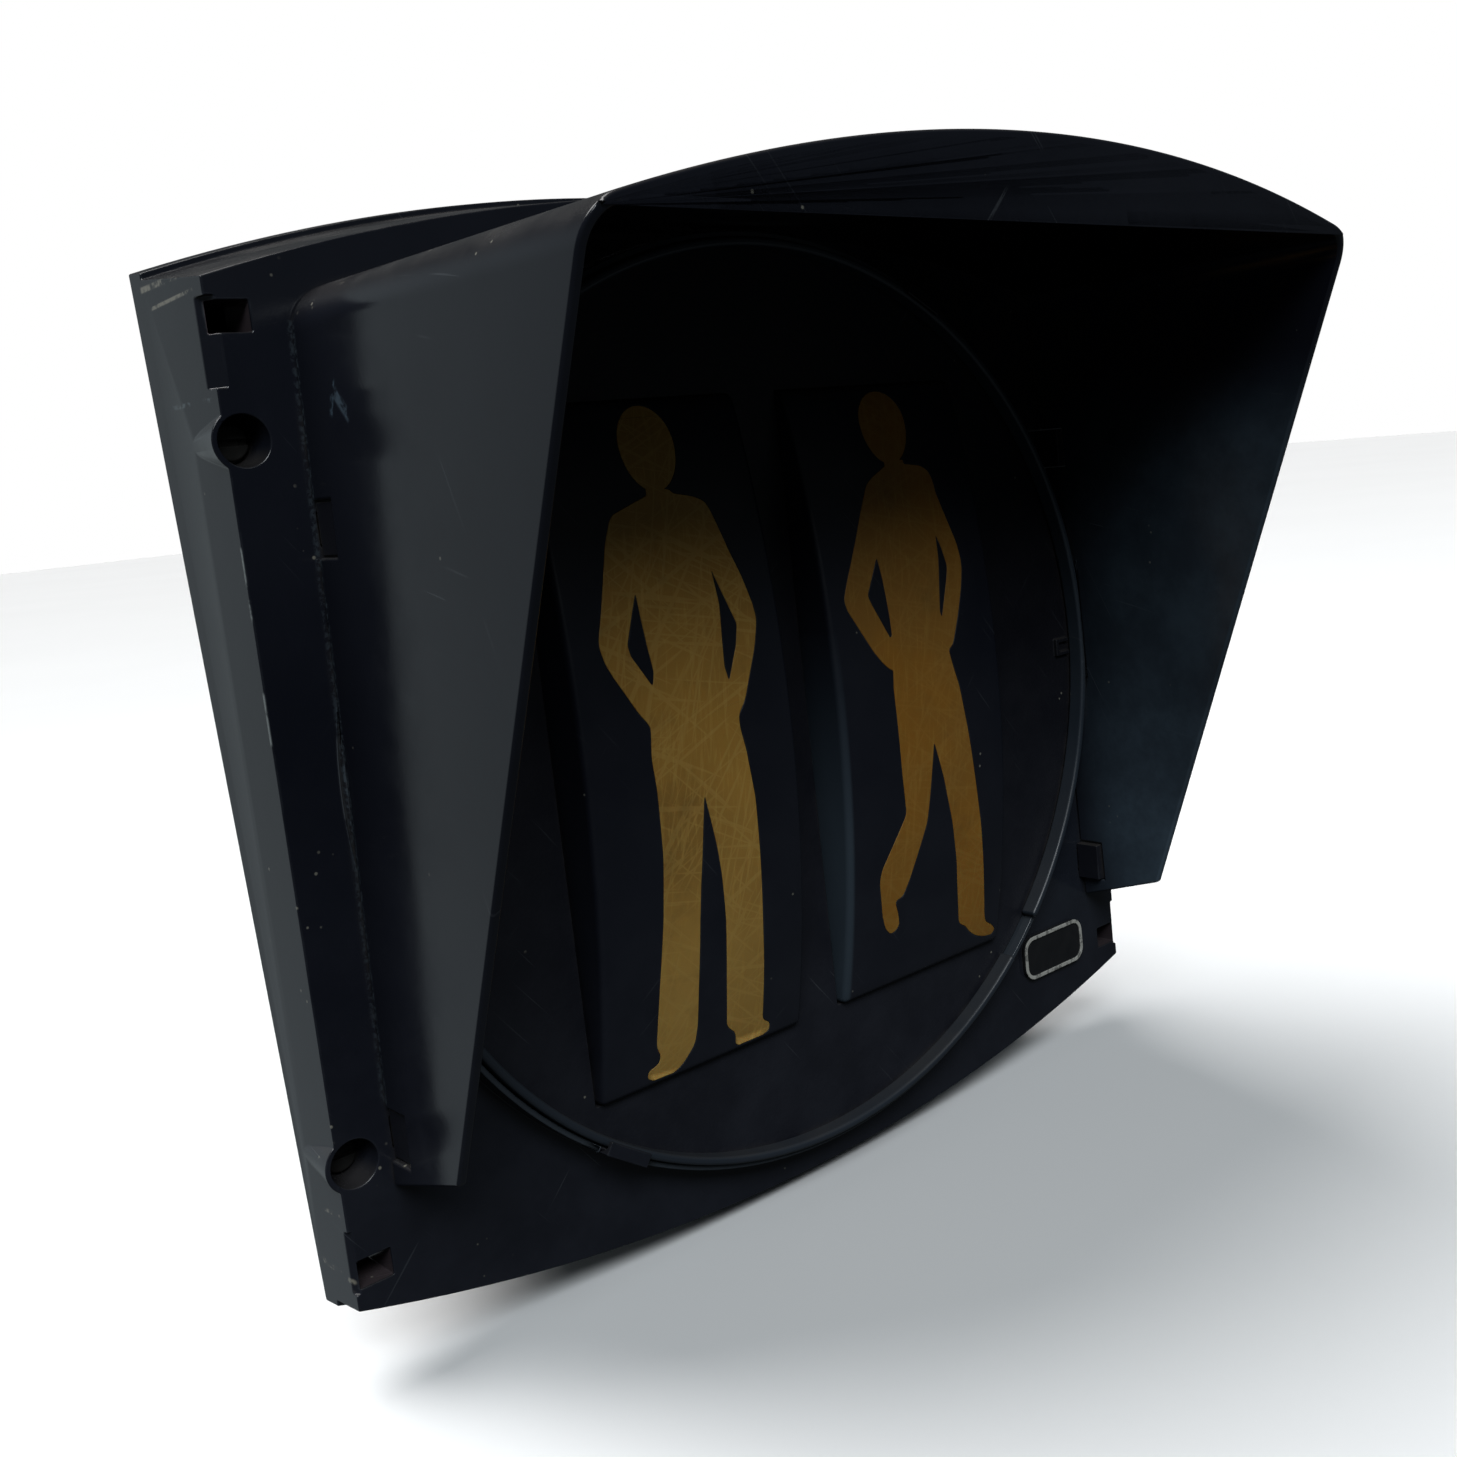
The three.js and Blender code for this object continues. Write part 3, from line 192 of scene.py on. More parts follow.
def washer(inner, outer, d0, d1, x=0.0, sides=ROUND):
    """A flat ring about the Y axis between two depths, or a disc where the inner radius is 0."""
    return turned([(inner, d0), (outer, d0), (outer, d1), (inner, d1)], x, sides=sides)


def settle(obj):
    """Applies an object's modifiers to its mesh."""
    graph = bpy.context.evaluated_depsgraph_get()
    mesh = bpy.data.meshes.new_from_object(obj.evaluated_get(graph))
    obj.modifiers.clear()
    obj.data = mesh
    return obj


def combine(a, b, operation):
    tool = a.modifiers.new("tool", "BOOLEAN")
    tool.operation = operation
    tool.solver = "MANIFOLD"
    tool.object = b
    settle(a)
    bpy.data.objects.remove(b)
    return a


def join(a, *others):
    for other in others:
        combine(a, other, "UNION")
    return a


def cut(a, *tools):
    for tool in tools:
        combine(a, tool, "DIFFERENCE")
    return a


def common(a, b):
    return combine(a, b, "INTERSECT")


def add_bevel(obj, width, segments, angle):
    """A modifier that rounds the edges sharper than an angle in degrees."""
    bevel = obj.modifiers.new("edge", "BEVEL")
    bevel.width = width * MM
    bevel.segments = segments
    bevel.limit_method = "ANGLE"
    bevel.angle_limit = math.radians(angle)
    bevel.use_clamp_overlap = False
    return bevel


def rounded(obj, width, segments=3, angle=32):
    """Rounds the sharp edges of a solid for good."""
    add_bevel(obj, width, segments, angle)
    return settle(obj)


def span_on(side, span):
    """A pair of distances from the middle, as an ascending pair of X on the left (-1) or right (1)."""
    return tuple(sorted((side * span[0], side * span[1])))


def rim_at(z):
    """Depth of the door's sloping rear rim at a height."""
    return RIM_D + RIM_SLOPE * z


def rim_block(offset, behind):
    """All the space behind, or in front of, the plane of the rim moved back by an offset."""
    edge = [(FACE + rim_at(z) + offset, z) for z in (-BIG, BIG)]
    far = BIG if behind else -BIG
    return prism_x([edge[0], edge[1], (far, BIG), (far, -BIG)], -BIG, BIG)


def arched_top(w, h, rise, inset, corner, corner_steps, arc_steps):
    """The arched upper edge of an outline, from right to left: a corner arc, the long arc, a corner arc."""
    full = (w**2 + rise**2) / (2 * rise)
    centre = h + rise - full
    arc_r = full - inset
    reach = arc_r - corner
    cx = w - inset - corner
    cz = centre + math.sqrt(reach**2 - cx**2)
    lean = math.asin(cx / reach)
    right = []
    for i in range(corner_steps + 1):
        a = i / max(1, corner_steps) * (math.pi / 2 - lean)
        right.append((cx + corner * math.cos(a), cz + corner * math.sin(a)))
    for i in range(1, arc_steps + 1):
        a = lean * (1 - i / arc_steps)
        right.append((arc_r * math.sin(a), centre + arc_r * math.cos(a)))
    return right + [(-x, z) for x, z in reversed(right[:-1])]


def door_outline(inset, corner=0.0, bottom_corner=None):
    """The front view of the door, set in from its edge; a corner radius of 0 leaves the corners sharp."""
    low = corner if bottom_corner is None else bottom_corner
    top, bottom = [
        arched_top(HALF_W, SIDE_H, RISE, inset, r, CORNER_STEPS if r else 0, ARC_STEPS) for r in (corner, low)
    ]
    return top + [(-x, -z) for x, z in bottom]


def rounded_box(w, h, r, steps=8, at=(0.0, 0.0)):
    points = []
    for sx, sz, start in ((1, 1, 0), (-1, 1, 90), (-1, -1, 180), (1, -1, 270)):
        for i in range(steps + 1):
            a = math.radians(start + i / steps * 90)
            points.append((at[0] + sx * (w - r) + r * math.cos(a), at[1] + sz * (h - r) + r * math.sin(a)))
    return points


# ---- Materials ----
class Nodes:
    """A node tree and short ways to add to it."""

    def __init__(self, tree, where):
        self.tree = tree
        self.where = self.add("ShaderNodeTexCoord").outputs[where]

    def add(self, kind, **settings):
        node = self.tree.nodes.new(kind)
        for key, value in settings.items():
            setattr(node, key, value)
        return node

    def feed(self, value, socket):
        if isinstance(value, bpy.types.NodeSocket):
            self.tree.links.new(value, socket)
        else:
            socket.default_value = value

    def math(self, operation, a, b=0.0, clamp=False):
        node = self.add("ShaderNodeMath", operation=operation, use_clamp=clamp)
        self.feed(a, node.inputs[0])
        self.feed(b, node.inputs[1])
        return node.outputs[0]

    def dot(self, a, b):
        node = self.add("ShaderNodeVectorMath", operation="DOT_PRODUCT")
        self.feed(a, node.inputs[0])
        self.feed(b, node.inputs[1])
        return node.outputs["Value"]

    def times(self, first, *others):
        for other in others:
            first = self.math("MULTIPLY", first, other)
        return first

    def scaled(self, scale, turn=(0, 0, 0)):
        """Object coordinates, turned and then stretched, for grain that runs in one direction."""
        node = self.add("ShaderNodeMapping", vector_type="TEXTURE")
        self.feed(self.where, node.inputs["Vector"])
        node.inputs["Scale"].default_value = [1 / s for s in scale]
        node.inputs["Rotation"].default_value = turn
        return node.outputs[0]

    def noise(self, scale, detail=3.0, rough=0.55, vector=None, distortion=0.0):
        node = self.add("ShaderNodeTexNoise")
        self.feed(self.where if vector is None else vector, node.inputs["Vector"])
        node.inputs["Scale"].default_value = scale
        node.inputs["Detail"].default_value = detail
        node.inputs["Roughness"].default_value = rough
        node.inputs["Distortion"].default_value = distortion
        return node.outputs["Fac"]

    def cells(self, scale):
        node = self.add("ShaderNodeTexVoronoi")
        self.feed(self.where, node.inputs["Vector"])
        node.inputs["Scale"].default_value = scale
        return node.outputs["Distance"]

    def ramp(self, value, low, high, out_low=0.0, out_high=1.0):
        node = self.add("ShaderNodeMapRange", interpolation_type="SMOOTHSTEP")
        self.feed(value, node.inputs["Value"])
        for key, number in (("From Min", low), ("From Max", high), ("To Min", out_low), ("To Max", out_high)):
            node.inputs[key].default_value = number
        return node.outputs["Result"]

    def mix(self, factor, a, b):
        node = self.add("ShaderNodeMix", data_type="RGBA")
        self.feed(factor, node.inputs[0])
        self.feed(a if isinstance(a, bpy.types.NodeSocket) else (*a, 1.0), node.inputs[6])
        self.feed(b if isinstance(b, bpy.types.NodeSocket) else (*b, 1.0), node.inputs[7])
        return node.outputs[2]

    def over(self, color, tone, factor, strength):
        """A tone laid over a colour where the factor is high."""
        return self.mix(self.times(factor, strength), color, tone)

    def axes(self, vector=None):
        node = self.add("ShaderNodeSeparateXYZ")
        self.feed(self.where if vector is None else vector, node.inputs[0])
        return node.outputs

    def near(self, centre, half, soft):
        """1 inside a box about a centre in millimetres, fading out over a soft margin."""
        result = None
        for axis in range(3):
            away = self.math("ABSOLUTE", self.math("SUBTRACT", self.axes()[axis], centre[axis] * MM))
            part = self.ramp(away, half[axis] * MM, (half[axis] + soft) * MM, 1.0, 0.0)
            result = part if result is None else self.times(result, part)
        return result

    def normal(self):
        return self.add("ShaderNodeNewGeometry").outputs["Normal"]

    def edges(self, radius):
        """How much a point lies on a convex or hollow edge, from the rounded normal."""
        bevel = self.add("ShaderNodeBevel", samples=6)
        bevel.inputs["Radius"].default_value = radius * MM
        same = self.dot(bevel.outputs[0], self.normal())
        return self.ramp(self.math("SUBTRACT", 1.0, same), 0.03, 0.25)

    def crevice(self, distance):
        node = self.add("ShaderNodeAmbientOcclusion", samples=6)
        node.inputs["Distance"].default_value = distance * MM
        return self.math("SUBTRACT", 1.0, node.outputs["AO"])

    def bump(self, height, strength, distance, under=None):
        node = self.add("ShaderNodeBump")
        node.inputs["Strength"].default_value = strength
        node.inputs["Distance"].default_value = distance * MM
        self.feed(height, node.inputs["Height"])
        if under is not None:
            self.feed(under, node.inputs["Normal"])
        return node.outputs[0]


class Paint(Nodes):
    """A material; its pattern follows the object's own coordinates."""

    def __init__(self, name):
        self.material = bpy.data.materials.new(name)
        self.material.use_nodes = True
        super().__init__(self.material.node_tree, "Object")
        self.bsdf = self.tree.nodes["Principled BSDF"]

    def surface(self, color=None, rough=None, normal=None, **plain):
        if color is not None:
            self.feed(color, self.bsdf.inputs["Base Color"])
        if rough is not None:
            self.feed(rough, self.bsdf.inputs["Roughness"])
        if normal is not None:
            self.feed(normal, self.bsdf.inputs["Normal"])
        for key, value in plain.items():
            self.bsdf.inputs[key.replace("_", " ")].default_value = value
        return self.material


def moulded(name, deep, light, rough=(0.34, 0.5), grain=1500.0, grain_depth=0.03, wear=0.4, dust=0.3,
            specular=0.3, low_light_strength=0.5, local=None):
    """Dark moulded plastic: mottled, grained, scratched, worn at the edges, with painted light that makes it
    lighter towards the bottom.
    """
    p = Paint(name)
    mottle = p.noise(14.0, 5.0, 0.6)
    color = p.mix(p.ramp(mottle, 0.3, 0.7), deep, light)
    haze = p.noise(60.0, 4.0, 0.65)
    # Painted light: a lighter tone towards the bottom, for the light that the hood keeps off the upper parts.
    painted_low_light = p.times(p.ramp(p.axes()[2], 0.02, -0.11), p.ramp(haze, 0.3, 0.7, 0.55, 1.0))
    color = p.over(color, (0.018, 0.020, 0.028), painted_low_light, low_light_strength)
    hair = p.noise(1.0, 2.0, 0.5, p.scaled((30, 30, 1400), (0.3, 0.9, 0.2)))
    hair2 = p.noise(1.0, 2.0, 0.5, p.scaled((1200, 40, 25), (0.1, 0.4, 1.1)))
    scratch = p.math("MAXIMUM", p.ramp(hair, 0.70, 0.76), p.ramp(hair2, 0.71, 0.77))
    scratch = p.times(scratch, p.ramp(p.noise(20.0, 2.0), 0.45, 0.62))
    speck = p.ramp(p.cells(230.0), 0.10, 0.05)
    speck = p.times(speck, p.ramp(p.noise(45.0, 2.0), 0.60, 0.68))
    edge = p.edges(0.9)
    chipped = p.times(edge, p.ramp(p.noise(120.0, 4.0, 0.7), 0.44, 0.6))
    chipped = p.times(chipped, wear)
    worn = (0.09, 0.10, 0.11)
    color = p.over(color, worn, scratch, 0.30)
    color = p.mix(chipped, color, worn)
    color = p.over(color, (0.28, 0.27, 0.22), speck, 0.55)
    settled = p.times(p.ramp(p.axes(p.normal())[2], 0.2, 0.9), p.ramp(haze, 0.2, 0.8, 0.5, 1.0))
    corner = p.times(p.ramp(p.crevice(3.0), 0.35, 0.8), p.ramp(haze, 0.3, 0.6))
    dusty = p.times(p.math("MAXIMUM", settled, corner), dust)
    color = p.mix(dusty, color, (0.10, 0.085, 0.065))
    if local is not None:
        color = local(p, color)
    rough_value = p.math("ADD", p.ramp(haze, 0.3, 0.75, *rough), p.times(scratch, 0.12))
    rough_value = p.math("ADD", rough_value, p.times(dusty, 0.5), clamp=True)
    normal = p.bump(p.noise(grain, 2.0, 0.6), 0.35, grain_depth)
    normal = p.bump(scratch, 0.25, 0.02, normal)
    return p.surface(color, rough_value, normal, Specular_IOR_Level=specular)


def streak(p, a, b, soft, broken=90.0, least=0.44):
    """1 along the line from a to b in millimetres, broken up by noise, 0 away from it."""
    start, end = Vector(a), Vector(b)
    half = (end - start).length / 2
    way = (end - start).normalized()
    away = p.add("ShaderNodeVectorMath", operation="SUBTRACT")
    p.feed(p.where, away.inputs[0])
    away.inputs[1].default_value = (start + end) / 2 * MM
    along = p.dot(away.outputs[0], way)
    far = p.add("ShaderNodeVectorMath", operation="LENGTH")
    p.feed(away.outputs[0], far.inputs[0])
    squared = p.times(far.outputs["Value"], far.outputs["Value"])
    run = p.times(along, along)
    across = p.math("SQRT", p.math("MAXIMUM", p.math("SUBTRACT", squared, run), 0.0))
    line = p.ramp(across, soft * MM, soft * 0.4 * MM)
    ends = p.ramp(p.math("ABSOLUTE", along), (half + 1) * MM, half * MM)
    gaps = p.ramp(p.noise(broken, 4.0, 0.75), least, least + 0.12)
    return p.times(line, ends, gaps)


def housing_wear_and_light(p, color):
    """Where this housing is chipped and rubbed: pale lines at the corners, scuffs on the hood; with painted
    light on the hood's right inner wall and on the collar.
    """
    edge = FACE + 0.4
    pale, blue, chip = (0.26, 0.245, 0.20), (0.10, 0.125, 0.14), (0.20, 0.22, 0.22)
    for a, b, soft, tone in (
        ((-125, FACE + 29, 104), (-125, FACE + 6, 104.5), 0.8, pale),
        ((-125, FACE + 25, 100), (-125, FACE + 5, 101), 0.5, pale),
        ((-125, FACE + 22, 80.5), (-125, FACE + 1, 80.5), 0.6, blue),
        ((-125, edge, 99), (-125, edge, 84), 0.5, (0.16, 0.20, 0.24)),
        ((-125, edge, 52), (-125, edge, 38), 0.4, chip),
        ((-125, edge, 24), (-125, edge, 15), 0.45, chip),
        ((-125, FACE + 19, -84), (-125, FACE + 2, -83), 0.6, pale),
        ((-125, FACE + 14, -96), (-125, FACE + 1, -97), 0.9, pale),
        ((-109, FACE - 1, 98), (-109, FACE - 16, 101), 1.3, pale),
        ((-109.7, FACE - 12, 83), (-110, FACE - 20, 75), 1.6, (0.06, 0.085, 0.11)),
        ((-110, FACE - 13, 76), (-109.7, FACE - 16, 84), 1.0, (0.06, 0.09, 0.12)),
        ((-109.3, FACE - 84, 96), (-109.2, FACE - 76, 100), 0.4, (0.10, 0.11, 0.12)),
        ((-110, FACE - 6.5, -30), (-104, FACE - 6.5, -43), 0.8, (0.06, 0.075, 0.09)),
    ):
        color = p.over(color, tone, streak(p, a, b, soft), 0.8)
    root = streak(p, (-109.3, FACE - 0.8, 94), (-113.5, FACE - 0.8, -62), 1.2, 900.0, 0.46)
    color = p.over(color, (0.055, 0.072, 0.086), root, 0.6)
    x, y, z = p.axes()
    # Painted light on the inner face of the hood's right wall: a bluish tone, lighter towards the bottom, for
    # the light from the front and left.
    painted_wall_light = p.near((HOOD_HALF, FACE - 75, -12), (8, 50, 60), 30.0)
    painted_wall_light = p.times(painted_wall_light, p.ramp(p.noise(35.0, 5.0, 0.7), 0.3, 0.7, 0.5, 1.0))
    bluish = p.mix(p.ramp(z, -0.005, -0.065), (0.036, 0.053, 0.070), (0.085, 0.125, 0.165))
    color = p.over(color, bluish, painted_wall_light, 0.8)
    for side, up in ((-1, -1), (-1, 1), (1, -1), (1, 1)):
        inside = p.near((side * 120.3, FACE + 6.6, up * 95.6), (3.75, 6, 3.05), 0.12)
        color = p.over(color, (0.055, 0.042, 0.046), inside, 0.8)
    # Painted light on the collar round the opening: a lighter blue-grey tone for the light on its wall.
    radius = p.math("SQRT", p.math("ADD", p.times(x, x), p.times(z, z)))
    off = p.math("ABSOLUTE", p.math("SUBTRACT", radius, (COLLAR_R + COLLAR_T / 2) * MM))
    middle = FACE - COLLAR_H / 2 - 0.3
    tall = p.math("ABSOLUTE", p.math("SUBTRACT", y, middle * MM))
    band = p.times(p.ramp(off, 0.0011, 0.0009), p.ramp(tall, 0.0036, 0.0030))
    band = p.times(band, p.ramp(p.math("ABSOLUTE", x), 0.1086, 0.1083))
    band = p.times(band, p.ramp(p.noise(40.0, 4.0, 0.7), 0.35, 0.65, 0.75, 1.0))
    color = p.mix(band, color, (0.036, 0.044, 0.054))
    spots = p.times(p.ramp(p.cells(340.0), 0.16, 0.08), p.ramp(p.noise(60.0, 3.0), 0.5, 0.6))
    for at, half in (((-109, FACE - 8, 100), (3, 9, 4)), ((-120, FACE, -104), (6, 4, 8)),
                     ((-109, FACE - 4, 54), (4, 5, 8)), ((-112, FACE - 4, -69), (4, 5, 8))):
        color = p.over(color, pale, p.times(spots, p.near(at, half, 3.0)), 0.8)
    return color


def tile_edge_light(p, color):
    """Painted light on the inner edge of the walking figure's tile: a pale blue tone, stronger towards the
    bottom.
    """
    painted_edge_light = p.near((TILE_X[0] + 0.4, FACE - 9, -35), (0.9, 9, 50), 1.2)
    painted_edge_light = p.times(painted_edge_light, p.ramp(p.axes()[2], 0.03, -0.05, 0.0, 0.8))
    return p.mix(painted_edge_light, color, (0.040, 0.056, 0.072))


NAVY = ((0.0052, 0.0060, 0.0096), (0.0080, 0.0092, 0.0138))
BLACK = ((0.0048, 0.0050, 0.0078), (0.0076, 0.0080, 0.0118))
BLUE_BLACK = ((0.0060, 0.0070, 0.0118), (0.0095, 0.0108, 0.0165))
LIT_SLATE = ((0.018, 0.025, 0.034), (0.028, 0.037, 0.049))
housing = moulded(
    "housing", *NAVY, rough=(0.13, 0.22), dust=0.2, low_light_strength=0.75, specular=0.4, local=housing_wear_and_light
)
# The ring is of the housing's plastic; its lighter slate tone is painted light on its inner face.
ring = moulded("ring", *LIT_SLATE, rough=(0.30, 0.42), wear=0.1, dust=0.2, specular=0.5)
trim = moulded("trim", *BLACK, rough=(0.4, 0.55))
disc_grain = moulded(
    "disc", *BLACK, rough=(0.42, 0.55), grain=900.0, grain_depth=0.2, wear=0.2, dust=0.15, low_light_strength=0.7
)
tile_dark = moulded(
    "mask", *BLUE_BLACK, rough=(0.3, 0.42), wear=0.25, dust=0.12, low_light_strength=0.8, local=tile_edge_light
)


def amber_plastic():
    """Translucent amber, finely crazed, with longer scratches that cross each other, and painted light that
    makes it lighter towards the bottom.
    """
    p = Paint("amber_lens")
    side = p.ramp(p.axes()[0], -0.004, 0.004)
    base = p.mix(side, (0.36, 0.190, 0.034), (0.28, 0.120, 0.013))
    # Painted light: lighter amber towards the bottom, more so on the standing figure, for the light that
    # reaches under the hood.
    low = p.times(p.ramp(p.axes()[2], 0.0, -0.07), p.ramp(p.axes()[0], 0.004, -0.004, 0.15, 1.0))
    base = p.over(base, (0.47, 0.30, 0.085), low, 0.5)
    cloudy = p.noise(22.0, 4.0, 0.6)
    base = p.over(base, (0.20, 0.105, 0.02), p.ramp(cloudy, 0.35, 0.7), 0.5)
    hair = p.noise(1.0, 3.0, 0.6, p.scaled((1000, 30, 100), (0, 0.12, 0)), 0.6)
    hair = p.times(p.ramp(hair, 0.52, 0.66), p.ramp(p.axes()[0], 0.004, -0.004, 0.35, 1.0))
    base = p.over(base, (0.42, 0.25, 0.055), hair, 0.55)
    lines = None
    for turn in (0.5, -0.42, 0.22, -0.9, 0.8, -1.25):
        one = p.ramp(p.noise(1.0, 1.0, 0.4, p.scaled((26, 20, 950), (0, turn, 0)), 0.2), 0.64, 0.70)
        lines = one if lines is None else p.math("MAXIMUM", lines, one)
    lines = p.times(lines, p.ramp(p.axes()[0], 0.004, -0.004, 0.10, 0.38))
    base = p.mix(lines, base, (0.46, 0.29, 0.075))
    grime = p.ramp(p.noise(55.0, 5.0, 0.7), 0.52, 0.75)
    base = p.over(base, (0.10, 0.055, 0.015), grime, 0.35)
    rough = p.ramp(cloudy, 0.3, 0.7, 0.36, 0.52)
    normal = p.bump(hair, 0.3, 0.03, p.bump(p.noise(1300.0, 2.0), 0.2, 0.02))
    return p.surface(
        base, rough, normal, Specular_IOR_Level=0.35, Subsurface_Weight=0.15, Subsurface_Scale=0.002
    )


def badge_paint():
    """Off-white paint on the raised border of the blank plate, worn through to black."""
    p = Paint("badge")
    raised = p.ramp(p.axes()[1], (FACE - 1.25) * MM, (FACE - 1.4) * MM)
    worn = p.ramp(p.noise(420.0, 4.0, 0.7), 0.40, 0.52, 0.35, 1.0)
    mottled = p.mix(p.noise(200.0, 3.0), (0.33, 0.33, 0.30), (0.50, 0.49, 0.45))
    dark = p.mix(p.noise(90.0, 3.0), (0.006, 0.007, 0.009), (0.014, 0.014, 0.015))
    color = p.mix(p.times(raised, worn), dark, mottled)
    rough = p.ramp(p.noise(300.0, 2.0), 0.3, 0.7, 0.4, 0.6)
    return p.surface(color, rough, p.bump(p.noise(900.0, 3.0), 0.3, 0.03), Specular_IOR_Level=0.3)


def metal(name, light, dark, rough=(0.25, 0.5), along=(6, 900, 900), metallic=1.0, stain=(0.10, 0.07, 0.05),
          stained=0.35, brushed=0.03):
    p = Paint(name)
    brush = p.noise(1.0, 3.0, 0.6, p.scaled(along))
    blot = p.noise(70.0, 5.0, 0.65)
    color = p.mix(p.ramp(blot, 0.3, 0.72), light, dark)
    spots = p.times(p.ramp(p.noise(160.0, 5.0, 0.75), 0.56, 0.68), stained)
    color = p.mix(spots, color, stain)
    color = p.over(color, stain, p.ramp(p.crevice(2.5), 0.4, 0.9), 0.5)
    rough_value = p.math("ADD", p.ramp(brush, 0.3, 0.7, *rough), p.times(spots, 0.5), clamp=True)
    normal = p.bump(brush, 0.4, brushed, p.bump(blot, 0.2, 0.05))
    return p.surface(color, rough_value, normal, Metallic=metallic)


def plain(name, light, dark, rough, stain, specular=0.4):
    """Ceramic, rubber and small mouldings: two tones, grime in the hollows, a fine bump."""
    p = Paint(name)
    grit = 220.0
    tone = p.noise(grit / 5, 4.0, 0.6)
    color = p.mix(p.ramp(tone, 0.3, 0.7), light, dark)
    grime = p.times(p.ramp(p.crevice(3.0), 0.3, 0.9), p.ramp(p.noise(grit, 4.0, 0.7), 0.3, 0.6))
    color = p.over(color, stain, grime, 0.6)
    spots = p.times(p.ramp(p.noise(grit * 2, 3.0, 0.7), 0.62, 0.7), 0.4)
    color = p.mix(spots, color, stain)
    normal = p.bump(p.noise(grit * 5, 3.0), 0.3, 0.04)
    return p.surface(color, p.ramp(tone, 0.25, 0.75, *rough), normal, Specular_IOR_Level=specular)


def clear_glass():
    p = Paint("bulb_glass")
    dusty = p.ramp(p.noise(130.0, 5.0, 0.7), 0.45, 0.75)
    color = p.mix(dusty, (0.95, 0.96, 0.96), (0.75, 0.74, 0.70))
    rough = p.times(dusty, 0.22)
    normal = p.bump(p.noise(90.0, 2.0), 0.1, 0.05)
    return p.surface(color, rough, normal, Transmission_Weight=0.95, IOR=1.45)


rubber = plain(
    "rubber", (0.010, 0.010, 0.011), (0.020, 0.020, 0.020), (0.7, 0.9), (0.06, 0.055, 0.045), specular=0.2
)
steel = metal("steel", (0.52, 0.52, 0.51), (0.36, 0.35, 0.33))
dark_steel = metal("dark_steel", (0.030, 0.029, 0.027), (0.012, 0.011, 0.010), (0.5, 0.75), (300, 300, 300),
                   metallic=0.6, stain=(0.02, 0.014, 0.009), stained=0.6)
zinc = metal("zinc_plate", (0.56, 0.57, 0.58), (0.38, 0.39, 0.40), (0.3, 0.55), (120, 120, 120), stained=0.25)
mirror = metal("reflector", (0.86, 0.86, 0.86), (0.70, 0.70, 0.70), (0.12, 0.3), (40, 500, 40), stained=0.12,
               stain=(0.25, 0.24, 0.22), brushed=0.01)
brass = metal(
    "brass", (0.66, 0.48, 0.20), (0.42, 0.29, 0.12), (0.28, 0.5), (500, 30, 500), stain=(0.09, 0.06, 0.03)
)
ceramic = plain(
    "ceramic", (0.72, 0.68, 0.58), (0.60, 0.56, 0.46), (0.15, 0.3), (0.18, 0.14, 0.09), specular=0.5
)
terminal = plain("terminal", (0.66, 0.62, 0.52), (0.52, 0.48, 0.38), (0.4, 0.55), (0.14, 0.11, 0.07))
cable = plain("cable", (0.012, 0.012, 0.013), (0.022, 0.022, 0.022), (0.45, 0.65), (0.07, 0.06, 0.05))
glass = clear_glass()
amber = amber_plastic()
badge = badge_paint()
SLOTS = {
    "housing": housing, "trim": trim, "disc": disc_grain, "mask": tile_dark, "amber_lens": amber,
    "badge": badge, "rubber": rubber, "steel": steel, "dark_steel": dark_steel, "zinc_plate": zinc,
    "reflector": mirror, "ceramic": ceramic, "brass": brass, "bulb_glass": glass, "cable": cable,
    "terminal": terminal,
}


def piece(node, obj, body, slot, bevel=0.25, segments=2, angle=32, miter="MITER_ARC", paint=None):
    """Names a finished solid, rounds and smooths it, and puts it in place of its CAD node."""
    obj.name = node + "_fine"
    obj.data.name = obj.name
    for face in obj.data.polygons:
        face.use_smooth = True
    weld = obj.modifiers.new("weld", "WELD")
    weld.merge_threshold = 0.005 * MM
    if bevel:
        edge = add_bevel(obj, bevel, segments, angle)
        edge.harden_normals = True
        edge.miter_outer = miter
    obj.data.materials.clear()
    obj.data.materials.append(paint or SLOTS[slot])
    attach(obj, body)
    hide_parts(node)
    return obj


# ---- Door front cover ----
def sockets(wall):
    """The four corner sockets: the sleeves where a wall is given, otherwise the holes through them."""
    (x0, x1), (z0, z1) = SOCKET_X, SOCKET_Z
    ys = (FACE + 1, FACE + SOCKET_DEPTH) if wall else (FACE - 1, FACE + SOCKET_DEPTH + 1)
    outer = HALF_W - 1 if wall else x1
    return [
        block(span_on(side, (x0 - wall, outer)), ys, span_on(up, (z0 - wall, z1 + wall)))
        for side in (-1, 1)
        for up in (-1, 1)
    ]


def collar():
    """The upright ring round the opening, cut off short of the hood's side walls."""
    ring = washer(COLLAR_R, COLLAR_R + COLLAR_T, 0.5, -COLLAR_H)
    stop = HOOD_HALF - HOOD_T - 3.5
    ends = [block(xs, (FACE - 20, FACE - 0.01), (-BIG, BIG)) for xs in ((-BIG, -stop), (stop, BIG))]
    return cut(ring, *ends)


def keepers():
    """Wedges on the collar that lap over the retaining ring."""
    made = []
    outer = COLLAR_R + COLLAR_T
    front = RING_FRONT - GAP
    for degrees in KEEPER_ANGLES:
        wedge = block((KEEPER_R, outer), (FACE - KEEPER_H, FACE + 0.15), (-KEEPER_HALF, KEEPER_HALF))
        wedge.data.transform(Matrix.Rotation(-math.radians(degrees), 4, "Y"))
        seat = washer(OPENING_R - 1.5, COLLAR_R + 0.1, 0.2, front)
        made.append(cut(wedge, seat))
    return made


